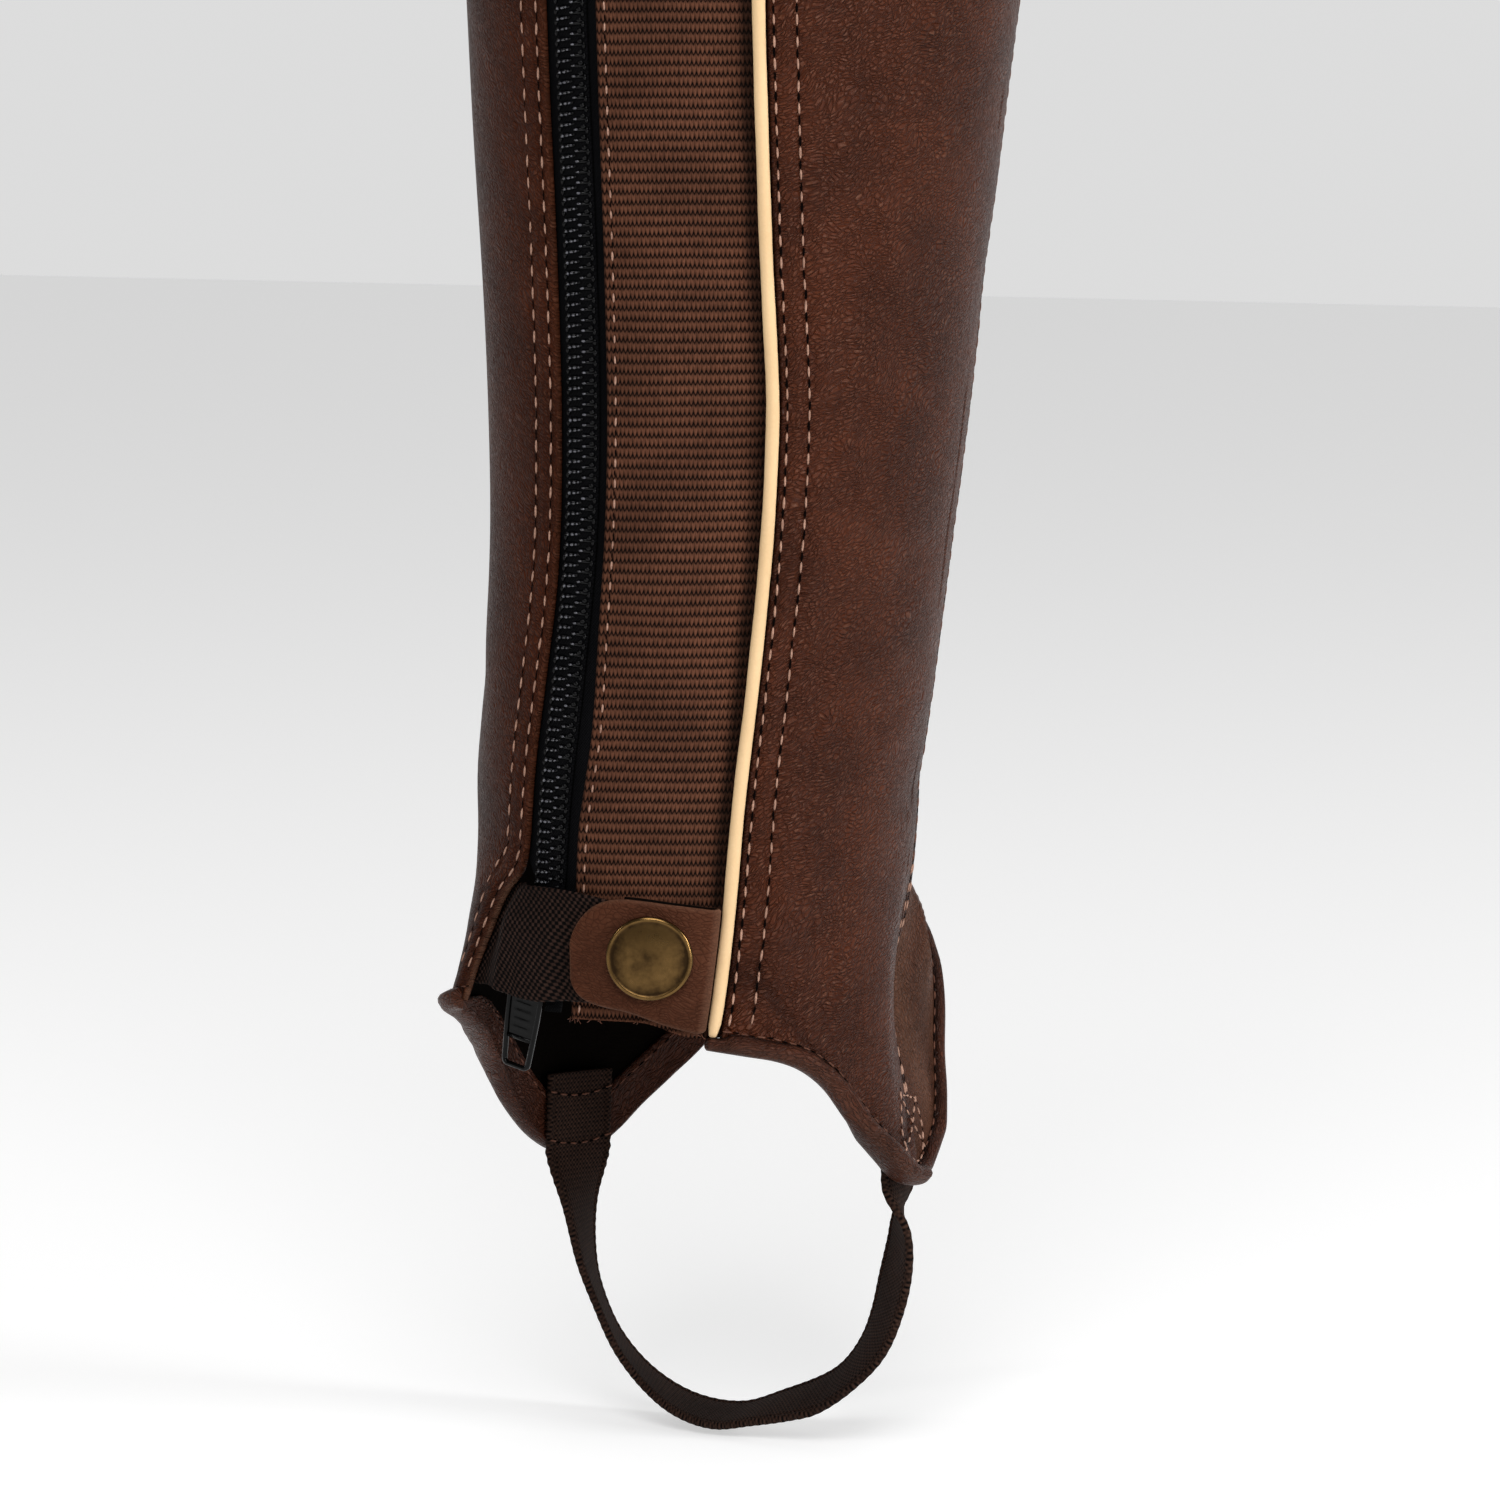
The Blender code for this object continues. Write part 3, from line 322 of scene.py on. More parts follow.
def makeKnit(name, look):
    # light loops that zigzag along each row, with dark pinholes between them; the colour follows the loop height, so
    # the dark grooves and pinholes are painted shade; used for ribbed and woven elastic
    material, tree, shader = startMaterial(name, look.get("roughness", 0.8), specular=0.05)
    flat = clothCoordinates(tree)
    waver = noise(tree, flat, 0.05, 1.0)
    parts = addNode(tree, "ShaderNodeSeparateXYZ", {0: flat})
    across = calc(tree, "DIVIDE", calc(tree, "MULTIPLY_ADD", parts.outputs[1], look["lean"], parts.outputs[0]), look["loopPitch"])
    up = calc(tree, "MULTIPLY_ADD", waver, 0.3, calc(tree, "DIVIDE", parts.outputs[1], look["rowPitch"]))
    column = calc(tree, "COSINE", calc(tree, "MULTIPLY", across, 2 * math.pi))
    row = calc(tree, "COSINE", calc(tree, "MULTIPLY", up, 2 * math.pi))
    if look.get("zigzag"):
        # furrows waver up and down from loop to loop
        bent = calc(tree, "MULTIPLY_ADD", column, look["zigzag"], up)
        ridge = calc(tree, "ABSOLUTE", calc(tree, "COSINE", calc(tree, "MULTIPLY", bent, math.pi)))
        loops = calc(tree, "POWER", calc(tree, "MULTIPLY_ADD", column, 0.5, 0.5), 0.5)
        height = calc(tree, "MULTIPLY", calc(tree, "POWER", ridge, 0.7), calc(tree, "MULTIPLY_ADD", loops, 0.5, 0.5))
    else:
        height = calc(tree, "MULTIPLY_ADD", row, look["ribShare"], 0.5)
        height = calc(tree, "MULTIPLY_ADD", calc(tree, "MULTIPLY", column, row), 0.48 - look["ribShare"], height)
    fibre = noise(tree, mapping(tree, flat, (7.0, 4.0, 1), 20), 1.0, 3.0)
    loopTone = noise(tree, mapping(tree, flat, (1 / look["loopPitch"], 1 / look["rowPitch"], 1)), 1.0, 2.0)
    shade = calc(tree, "MULTIPLY", spread(tree, height, *look.get("contrast", (0.12, 0.86))), calc(tree, "MULTIPLY_ADD", fibre, 0.6, 0.62))
    shade = calc(tree, "MULTIPLY", shade, spread(tree, loopTone, 0.3, 0.7, 0.72, 1.12))
    colour = mixTone(tree, shade, tone(*look["dark"]), tone(*look["light"]))
    blotches = noise(tree, flat, 0.06, 2.0)
    colour = mixTone(tree, spread(tree, blotches, 0.35, 0.7, 0.0, 0.3), colour, tone(*look["dark"]))
    # painted shade from the per-point attribute: darker where a piece lies under or against its neighbour
    edge = addNode(tree, "ShaderNodeAttribute", attribute_name="wearAndPaintedLight").outputs["Fac"]
    colour = mixTone(tree, edge, colour, tone(*look["dark"]))
    tree.links.new(colour, shader.inputs["Base Color"])
    normal = bump(tree, height, look["depth"])
    tree.links.new(bump(tree, fibre, 0.05, normal=normal), shader.inputs["Normal"])
    return material


def makeThread(name, colour, dark, specular=0.12):
    material, tree, shader = startMaterial(name, 0.55, specular=specular)
    place = addNode(tree, "ShaderNodeTexCoord").outputs["Object"]
    twist = noise(tree, place, 2600.0, 2.0)
    wide = noise(tree, place, 240.0, 1.0)
    colour = mixTone(tree, spread(tree, twist, 0.35, 0.65, 0.0, 0.6), tone(*colour), tone(*dark))
    colour = mixTone(tree, spread(tree, wide, 0.4, 0.7, 0.0, 0.4), colour, tone(*dark))
    tree.links.new(colour, shader.inputs["Base Color"])
    tree.links.new(bump(tree, twist, 0.05), shader.inputs["Normal"])
    return material


def makeGloss(name, colour, light, roughness, shine, scale=900.0, depth=0.01):
    material, tree, shader = startMaterial(name, roughness, specular=shine)
    place = addNode(tree, "ShaderNodeTexCoord").outputs["Object"]
    grain = noise(tree, place, scale, 3.0)
    tree.links.new(mixTone(tree, spread(tree, grain, 0.4, 0.75), tone(*colour), tone(*light)), shader.inputs["Base Color"])
    tree.links.new(spread(tree, grain, 0.3, 0.7, roughness - 0.06, roughness + 0.1), shader.inputs["Roughness"])
    tree.links.new(bump(tree, grain, depth), shader.inputs["Normal"])
    return material


def makeBrass(name, look):
    material, tree, shader = startMaterial(name, look["roughness"], 1.0)
    place = addNode(tree, "ShaderNodeTexCoord").outputs["Object"]
    cloud = noise(tree, place, 260.0, 4.0, 0.6)
    speck = noise(tree, place, 1500.0, 3.0)
    recess = addNode(tree, "ShaderNodeAttribute", attribute_name="recess").outputs["Fac"]
    aged = calc(tree, "ADD", spread(tree, cloud, 0.35, 0.75, 0.0, 0.55), calc(tree, "MULTIPLY", recess, 0.75))
    aged = calc(tree, "MINIMUM", aged, 1.0)
    colour = mixTone(tree, aged, tone(*look["bright"]), tone(*look["aged"]))
    tree.links.new(colour, shader.inputs["Base Color"])
    tree.links.new(spread(tree, calc(tree, "ADD", aged, calc(tree, "MULTIPLY", speck, 0.3)), 0.0, 1.2,
                          look["roughness"] - 0.06, look["roughness"] + 0.2), shader.inputs["Roughness"])
    tree.links.new(bump(tree, speck, 0.004), shader.inputs["Normal"])
    return material


# in these looks the light tone is the painted highlight on the grain's ridges, and lines sets the painted shade in the
# wrinkle valleys
leatherLook = {"light": (114, 79, 62), "middle": (73, 35, 19), "dark": (52, 23, 11), "wornAndLit": (124, 92, 74), "drift": 7.0,
               "grainTurn": -28, "grainLength": 1.5, "grainWidth": 0.62, "grainHighlight": 0.5, "poreSize": 0.5, "lines": 0.6,
               "poreDepth": 0.07, "grainDepth": 0.3, "roughness": 0.3, "shine": 0.07}
innerLook = {**leatherLook, "grainTurn": 52, "middle": (68, 32, 17), "dark": (50, 22, 11), "grainHighlight": 0.4, "shine": 0.03}
hemLook = {**leatherLook, "grainTurn": 80, "grainLength": 2.0, "middle": (70, 37, 25), "dark": (48, 25, 17), "grainHighlight": 0.25}
tabLook = {**leatherLook, "grainTurn": 8, "middle": (74, 42, 28), "dark": (57, 31, 20), "light": (100, 68, 50), "shine": 0.03,
           "poreSize": 0.5, "grainDepth": 0.09, "roughness": 0.52, "grainHighlight": 0.35}
outerLeather = makeLeather("outer leather", leatherLook)
innerLeather = makeLeather("inner leather", innerLook)
hemLeather = makeLeather("hem leather", hemLook)
tabLeather = makeLeather("tab leather", tabLook)
pipingLeather = makeLeather("piping leather", {
    **leatherLook, "light": (222, 192, 152), "middle": (217, 185, 142), "dark": (208, 175, 132), "wornAndLit": (222, 194, 156), "lines": 0.05,
    "grainTurn": 0, "grainLength": 1.2, "grainWidth": 1.2, "grainHighlight": 0.3, "poreSize": 0.5, "poreDepth": 0.012,
    "grainDepth": 0.012, "roughness": 0.5})
# the flesh side is dark suede, made near black as painted shade for the inside of the chap
shadedFleshSide = makeSuede("flesh side with painted shade", (6, 4, 3), (12, 8, 6))
cutEdge = makeSuede("cut edge", (44, 26, 18), (70, 44, 32))
ribCloth = makeKnit("ribbed elastic", {"light": (97, 61, 45), "dark": (6, 3, 2), "loopPitch": 0.82, "rowPitch": 1.95,
                                       "ribShare": 0.25, "lean": 0.0, "zigzag": 0.16, "depth": 0.3})
bandCloth = makeKnit("band elastic", {"light": (54, 38, 32), "dark": (3, 2, 2), "loopPitch": 1.35, "rowPitch": 1.3, "contrast": (0.35, 0.75),
                                      "ribShare": 0.02, "lean": 0.35, "depth": 0.3})
strapCloth = makeKnit("strap elastic", {"light": (60, 42, 34), "dark": (7, 4, 4), "loopPitch": 1.0, "rowPitch": 0.92,
                                        "ribShare": 0.12, "lean": 0.2, "depth": 0.22})
tapeCloth = makeKnit("zip tape", {"light": (17, 17, 19), "dark": (2, 2, 3), "loopPitch": 0.6, "rowPitch": 0.6,
                                  "ribShare": 0.05, "lean": 0.3, "depth": 0.12})
seamThread = makeThread("seam thread", (168, 132, 114), (118, 86, 72))
darkThread = makeThread("dark thread", (100, 64, 49), (62, 36, 27))
# needle holes are near-black slits that stand in for the shade in the holes: painted shade
needleHoleShade = makeSuede("needle hole shade", (4, 2, 2), (8, 5, 4))
coilPlastic = makeGloss("coil", (1, 1, 2), (4, 4, 5), 0.16, 0.14)
# coil crowns are the black coil in a lighter tone: painted glints on the raised lumps
coilGlints = makeGloss("coil crowns with painted glints", (30, 30, 34), (88, 88, 96), 0.2, 0.8)
blackEnamel = makeGloss("black enamel", (1, 1, 1), (5, 5, 5), 0.12, 0.14, 700.0, 0.02)
brass = makeBrass("antique brass", {"bright": (112, 86, 50), "aged": (46, 33, 19), "roughness": 0.26})
print("materials made")


# Meshes
def fastMesh(name, points, quads, materials, faceLook=None, uv=None, attributes=None, millimetres=True):
    points = np.asarray(points, float).reshape(-1, 3)
    if millimetres:
        points = (points - (0, 0, originHeight)) * 0.001
    quads = np.asarray(quads, int)
    a, b, c, d = (points[quads[:, k]] for k in range(4))
    volume = (np.einsum("ij,ij->i", a, np.cross(b, c)) + np.einsum("ij,ij->i", a, np.cross(c, d))).sum()
    if volume < 0:
        quads = quads[:, ::-1]
    mesh = bpy.data.meshes.new(name)
    mesh.vertices.add(len(points))
    mesh.vertices.foreach_set("co", points.ravel())
    mesh.loops.add(quads.size)
    mesh.loops.foreach_set("vertex_index", quads.ravel())
    mesh.polygons.add(len(quads))
    mesh.polygons.foreach_set("loop_start", np.arange(0, quads.size, 4))
    mesh.polygons.foreach_set("loop_total", np.full(len(quads), 4))
    for look in materials:
        mesh.materials.append(look)
    if faceLook is not None:
        mesh.polygons.foreach_set("material_index", np.asarray(faceLook, int))
    mesh.polygons.foreach_set("use_smooth", np.ones(len(quads), bool))
    mesh.update(calc_edges=True)
    if uv is not None:
        layer = mesh.uv_layers.new(name="cloth")
        layer.data.foreach_set("uv", np.asarray(uv, float).reshape(-1, 2)[quads.ravel()].ravel())
    for key, values in (attributes or {}).items():
        mesh.attributes.new(key, "FLOAT", "POINT").data.foreach_set("value", np.asarray(values, float).ravel())
    mesh.validate()
    piece = bpy.data.objects.new(name, mesh)
    bpy.context.scene.collection.objects.link(piece)
    return piece


def gridQuads(rows, columns, first=0, closed=False):
    r, c = np.meshgrid(np.arange(rows - 1), np.arange(columns if closed else columns - 1), indexing="ij")
    d = (c + 1) % columns
    return (first + np.stack([r * columns + c, r * columns + d, (r + 1) * columns + d, (r + 1) * columns + c], -1)).reshape(-1, 4)


def clothShell(name, outside, inside, uv, looks, wearAndPaintedLight=None, shaded=None):
    # closed thin shell between two grids: outer face, inner face and cut edge have their own finish
    rows, columns = outside.shape[:2]
    count = rows * columns
    top = gridQuads(rows, columns)
    under = gridQuads(rows, columns, count)[:, ::-1]
    rim = ([(0, c) for c in range(columns)] + [(r, columns - 1) for r in range(1, rows)]
           + [(rows - 1, c) for c in range(columns - 2, -1, -1)] + [(r, 0) for r in range(rows - 2, 0, -1)])
    index = np.array([r * columns + c for r, c in rim])
    following = np.roll(index, -1)
    side = np.stack([following, index, index + count, following + count], -1)
    quads = np.concatenate([top, under, side])
    faceLook = np.concatenate([np.zeros(len(top)), np.full(len(under), 1), np.full(len(side), 2)])
    points = np.concatenate([outside.reshape(-1, 3), inside.reshape(-1, 3)])
    flat = np.concatenate([uv.reshape(-1, 2)] * 2)
    wearAndPaintedLight = np.zeros((rows, columns)) if wearAndPaintedLight is None else wearAndPaintedLight
    shaded = np.zeros((rows, columns)) if shaded is None else shaded
    return fastMesh(name, points, quads, looks, faceLook, flat,
                    {key: np.concatenate([v.ravel(), v.ravel() * 0]) for key, v in (("wearAndPaintedLight", wearAndPaintedLight), ("shaded", shaded))})


def tubeMesh(name, rings, uv, looks, wearAndPaintedLight=None, shaded=None):
    # closed bar: the ends are capped by drawing the last ring in to its middle
    rings = np.asarray(rings, float)
    count, corners = rings.shape[:2]
    middle = rings.mean(1, keepdims=True)
    first, last = middle[:1] + (rings[:1] - middle[:1]) * 0.02, middle[-1:] + (rings[-1:] - middle[-1:]) * 0.02
    rings = np.concatenate([first, rings, last])
    uv = np.concatenate([uv[:1], uv, uv[-1:]])
    wearAndPaintedLight = np.zeros(uv.shape[:2]) if wearAndPaintedLight is None else np.concatenate([wearAndPaintedLight[:1], wearAndPaintedLight, wearAndPaintedLight[-1:]])
    shaded = wearAndPaintedLight * 0 if shaded is None else np.broadcast_to(shaded, wearAndPaintedLight.shape)
    return fastMesh(name, rings, gridQuads(count + 2, corners, closed=True), looks, None, uv, {"wearAndPaintedLight": wearAndPaintedLight, "shaded": shaded})


def edgeColumns(start, end, height, thickness, inner):
    # angles across a panel, with close columns that round both edges; returns angles and rounding
    r = thickness * 0.48
    near = np.array([0.0, 0.1, 0.3, 0.62]) * r / 0.72
    drop = r - np.sqrt(np.maximum(0, r * r - (r - np.minimum(near, r))**2))
    fromStart = np.concatenate([near, np.full(inner, near[-1]), np.zeros(4)])
    fromEnd = np.concatenate([np.zeros(4), np.full(inner, near[-1]), near[::-1]])
    part = np.concatenate([np.zeros(4), np.linspace(0, 1, inner + 2)[1:-1], np.ones(4)])
    a = start + fromStart * degreesOf(1.0, start, height)
    b = end - fromEnd * degreesOf(1.0, end, height)
    return a + (b - a) * part, np.concatenate([drop, np.zeros(inner), drop[::-1]])


def clothUv(angles, heights):
    point = legPoint(angles, heights)
    step = np.linalg.norm(np.diff(point, axis=1), axis=-1)
    u = np.concatenate([np.zeros((len(step), 1)), np.cumsum(step, 1)], 1)
    return np.stack([u, heights], -1)


def panelGrid(startLine, endLine, thickness, inner, margin, top, footRows, rowStep):
    # the lowest rows follow the hem's line, the rest run level round the leg
    edge = insetLine(margin)
    height = np.full(inner + 8, 30.0)
    for _ in range(16):
        angles, rounding = edgeColumns(startLine(height), endLine(height), height, thickness, inner)
        height = 0.5 * height + 0.5 * np.interp(wrapAngle(angles), edge[:, 0], edge[:, 1])
    low = height + (62.0 - height) * np.linspace(0, 1, footRows, endpoint=False)[:, None]
    high = np.repeat(np.append(np.arange(62.0, top - 0.5 * rowStep, rowStep), top)[:, None], inner + 8, 1)
    heights = np.vstack([low, high])
    angles, rounding = edgeColumns(startLine(heights), endLine(heights), heights, thickness, inner)
    return heights, angles, rounding


def furrow(distance, place, width, depth):
    return -depth * np.exp(-((distance - place) / width)**2)


# Outer panel: smooth leather with two sewn rows beside the piping
outerPanelValues = {"level": 0.2, "thickness": 1.5, "columns": 74, "footRows": 34, "rowStep": 1.6,
                    "rows": (1.15, 5.35), "stitchPitch": 4.05, "pucker": 0.13, "puff": 0.26}
topEdge = 402.0 - 1.0 - 0.3


def outerStart(height):
    return beside(pipingLine, height, 1.2 + 0.3)


def outerEnd(height):
    return readLine(frontSeam, height)


v = outerPanelValues
heights, angles, rounding = panelGrid(outerStart, outerEnd, v["thickness"], v["columns"], 1.4, topEdge, v["footRows"], v["rowStep"])
flat = clothUv(angles, heights)
fromPiping = flat[..., 0]
fromSeam = flat[:, -1:, 0] - flat[..., 0]
relief = v["puff"] * np.exp(-((fromPiping - 3.3) / 1.4)**2)
for place in v["rows"]:
    relief += furrow(fromPiping, place, 0.6, 0.3)
    relief += v["pucker"] * np.sin(2 * np.pi * heights / v["stitchPitch"]) * np.exp(-((fromPiping - place) / 1.9)**2)
relief += 0.42 * np.exp(-((fromPiping - 8.6) / 2.4)**2) * (0.7 + 0.3 * np.sin(heights / 9.0 + 1))
for place in (1.2, 2.8):
    relief += furrow(fromSeam, place, 0.4, 0.12) * ease(0, 8, heights)
fromHem = (heights - hemHeight(angles)) * edgeFrame(angles, hemHeight)[1]
relief += furrow(fromHem, 4.0, 1.0, 0.3)
# painted highlight: a light line along the front seam edge, where the leg's bulge rounds away
wearAndPaintedLight = np.exp(-(fromSeam / 0.4)**2) * 0.5
shaded = 0.85 * np.exp(-(fromPiping / 0.35)**2) + 0.22 * (fromPiping < v["rows"][0]) + 0.5 * np.exp(-((fromHem - 3.9) / 0.8)**2)
for place in v["rows"]:
    shaded += 0.3 * np.exp(-((fromPiping - place) / 0.4)**2)
outerPanel = clothShell("outerPanel", formPoint(angles, heights, v["level"] + v["thickness"] - rounding + relief),
                        formPoint(angles, heights, v["level"] + rounding * 0.6), flat, [outerLeather, shadedFleshSide, outerLeather], wearAndPaintedLight, np.clip(shaded, 0, 1))
print("outer panel made")

# Inner panel: goes round the shin and the inner side, its free edge folded beside the zip
innerPanelValues = {"level": -1.6, "thickness": 1.5, "columns": 168, "footRows": 26, "rowStep": 2.2,
                    "rows": (1.9, 6.0), "stitchPitch": 4.05, "puff": 0.18}
v = innerPanelValues


def innerStart(height):
    return readLine(frontSeam, height) - 14.4


def innerEnd(height):
    return 360 + readLine(innerEdge, height)


heights, angles, rounding = panelGrid(innerStart, innerEnd, v["thickness"], v["columns"], 1.4, topEdge, v["footRows"], v["rowStep"])
flat = clothUv(angles, heights)
fromZip = flat[:, -1:, 0] - flat[..., 0]
slantFactor = 1 / np.sqrt(1 + np.gradient(readLine(innerEdge, heights[:, -1]) * 0.78, heights[:, -1])**2)
fromZip = fromZip * slantFactor[:, None]
relief = v["puff"] * np.exp(-((fromZip - 4.0) / 1.4)**2) + 0.14 * np.exp(-((fromZip - 0.9) / 0.5)**2)
for place in v["rows"]:
    relief += furrow(fromZip, place, 0.5, 0.16)
    relief += 0.05 * np.sin(2 * np.pi * heights / v["stitchPitch"]) * np.exp(-((fromZip - place) / 1.5)**2)
# painted highlight along the folded edge by the zip, strongest on its slanted foot below 64 mm
wearAndPaintedLight = np.exp(-(fromZip / 0.45)**2) * (0.1 + 0.6 * (heights < 64))
shaded = sum(0.3 * np.exp(-((fromZip - place) / 0.4)**2) for place in v["rows"])
# painted light: the front of the inner panel low over the foot is lightened where it lies in shade behind the bulge
wearAndPaintedLight += 0.42 * ease(196, 168, angles) * ease(118, 96, heights) * (0.75 + 0.25 * np.sin(angles / 2.5))
innerPanel = clothShell("innerPanel", formPoint(angles, heights, v["level"] + v["thickness"] - rounding + relief),
                        formPoint(angles, heights, v["level"] + rounding * 0.6), flat, [innerLeather, shadedFleshSide, innerLeather], wearAndPaintedLight, np.clip(shaded, 0, 1))
print("inner panel made")

# Gusset: ribbed elastic with raised knitted ribs
gussetValues = {"level": -1.6, "thickness": 1.5, "columns": 22, "ribPitch": 1.95, "ribDepth": 0.2, "rowsPerRib": 4}
v = gussetValues
rowHeights = np.arange(36.9, topEdge, v["ribPitch"] / v["rowsPerRib"])
rowHeights[-1] = topEdge
start, end = readLine(gussetEdge, rowHeights), beside(pipingLine, rowHeights, 8.0)
heights = np.repeat(rowHeights[:, None], v["columns"] + 8, 1)
angles, rounding = edgeColumns(start[:, None], end[:, None], heights, v["thickness"], v["columns"])
heights = heights + (0.2 * np.sin(angles / 9.0) - 2.7 * ease(24, 40, angles)) * (1 - ease(36.9, 44, rowHeights))[:, None]
flat = clothUv(angles, heights)
rib = v["ribDepth"] * (0.5 * np.cos(2 * np.pi * heights / v["ribPitch"]) - 0.5)
rib = rib * ease(0.0, 1.6, flat[..., 0]) + furrow(flat[..., 0], 2.0, 0.5, 0.12)
fromCord = (readLine(pipingLine, heights) - angles) / degreesOf(1.0, angles, heights)
# painted shade: darker where the gusset runs under the piping and along its edge by the zip
borderShade = 0.75 * ease(3.1, 2.5, fromCord) + 0.5 * np.exp(-(flat[..., 0] / 0.35)**2)
gusset = clothShell("gusset", formPoint(angles, heights, v["level"] + v["thickness"] - rounding + rib),
                    formPoint(angles, heights, v["level"] + rounding * 0.6), flat, [ribCloth, ribCloth, ribCloth], np.clip(borderShade, 0, 1))
print("gusset made")

# Piping
pipingValues = {"radius": 1.2, "low": 34.4, "high": 396.4, "level": -1.6 + 1.5 + 0.35 + 1.2, "corners": 18}
v = pipingValues
rowHeights = np.concatenate([[v["low"], v["low"] + 0.25], np.arange(v["low"] + 0.8, v["high"] - 0.7, 1.6), [v["high"] - 0.25, v["high"]]])
turns = np.linspace(0, 2 * np.pi, v["corners"], endpoint=False)
rings, flat = [], []
for k, height in enumerate(rowHeights):
    radius = v["radius"] * (0.72 if k in (0, len(rowHeights) - 1) else 0.94 if k in (1, len(rowHeights) - 2) else 1.0)
    radius *= 0.62 + 0.38 * float(ease(v["low"], v["low"] + 2.6, height))
    radius *= 1 + 0.02 * math.sin(height * 0.31) + 0.012 * math.sin(height * 1.3)
    angle = beside(pipingLine, height, radius * np.cos(turns))
    rings.append(formPoint(angle, np.full(len(turns), height), v["level"] + radius * np.sin(turns)))
    flat.append(np.stack([turns * v["radius"], np.full(len(turns), height)], -1))
piping = tubeMesh("pipingCord", rings, np.array(flat), [pipingLeather])

# Zip tapes
tapeValues = {"level": -2.7, "thickness": 0.8, "columns": 10}
v = tapeValues
rowHeights = np.concatenate([[37.6], np.arange(39.0, 396.0, 2.4), [396.6]])
tapes = {}
for name, side in (("tapeInner", -1), ("tapeOuter", 1)):
    near = 1.5 + (0.4 - 1.5) * ease(45, 50, rowHeights)
    far = 5.2 + (14.0 - 5.2) * ease(62.5, 73, rowHeights)
    across = side * (near[:, None] + (far - near)[:, None] * np.linspace(0, 1, v["columns"]))
    heights = np.repeat(rowHeights[:, None], v["columns"], 1)
    angles = beside(zipLine, heights, across)
    tapes[name] = clothShell(name, formPoint(angles, heights, v["level"] + v["thickness"]), formPoint(angles, heights, v["level"]),
                             np.stack([across, heights], -1), [tapeCloth] * 3)
print("piping and zip tapes made")


# Repeated things follow a path: a polyline whose points carry the direction away from the surface
def pathObject(name, lines):
    points, away, edges = [], [], []
    for line, normals in lines:
        first = len(points)
        points.extend((np.asarray(line) - (0, 0, originHeight)) * 0.001)
        away.extend(normals)
        edges.extend((first + k, first + k + 1) for k in range(len(line) - 1))
    mesh = bpy.data.meshes.new(name)
    mesh.from_pydata([tuple(p) for p in points], edges, [])
    mesh.attributes.new("away", "FLOAT_VECTOR", "POINT").data.foreach_set("vector", np.array(away, float).ravel())
    path = bpy.data.objects.new(name, mesh)
    bpy.context.scene.collection.objects.link(path)
    return path


def surfacePath(angles, heights, level, side=1):
    angles, heights = np.asarray(angles, float), np.asarray(heights, float)
    line = formPoint(angles, heights, level)
    away = formPoint(angles, heights, level + side) - line
    return line, away / np.linalg.norm(away, axis=-1, keepdims=True)


def seamOffset(table, heights, distance):
    # runs beside a seam at a distance square to it, also where the seam slants
    angle = readLine(table, heights)
    perDegree = 1 / degreesOf(1.0, angle, heights)
    run = np.gradient(angle, heights) * perDegree
    length = np.sqrt(1 + run**2)
    return angle + distance / length / perDegree, heights - distance * run / length


def nodeSocket(tree, name, kind, value=None):
    socket = tree.interface.new_socket(name=name, in_out="INPUT", socket_type=kind)
    if value is not None:
        socket.default_value = value
    return socket


def alignedPoints(tree, group, pitchSocket):
    curve = addNode(tree, "GeometryNodeMeshToCurve", {0: group.outputs["Geometry"]})
    resampled = addNode(tree, "GeometryNodeResampleCurve", {"Curve": curve.outputs[0], "Length": pitchSocket}, mode="LENGTH")
    away = addNode(tree, "GeometryNodeInputNamedAttribute", {"Name": "away"}, data_type="FLOAT_VECTOR")
    tangent = addNode(tree, "GeometryNodeInputTangent")
    first = addNode(tree, "FunctionNodeAlignRotationToVector", {"Vector": tangent.outputs[0]}, axis="X")
    second = addNode(tree, "FunctionNodeAlignRotationToVector", {"Rotation": first.outputs[0], "Vector": away.outputs[0]},
                     axis="Z", pivot_axis="X")
    return resampled.outputs[0], second.outputs[0]


def bead(tree, size, offset, segments=8, rings=5):
    # small rounded body of a given size, moved in its own frame: along, across, away
    ball = addNode(tree, "GeometryNodeMeshUVSphere", {"Segments": segments, "Rings": rings, "Radius": 0.5})
    combined = addNode(tree, "ShaderNodeCombineXYZ", {0: size[0], 1: size[1], 2: size[2]})
    moved = addNode(tree, "ShaderNodeCombineXYZ", {0: offset[0], 1: offset[1], 2: offset[2]})
    return addNode(tree, "GeometryNodeTransform", {"Geometry": ball.outputs[0], "Translation": moved.outputs[0],
                                                   "Scale": combined.outputs[0]}).outputs[0]


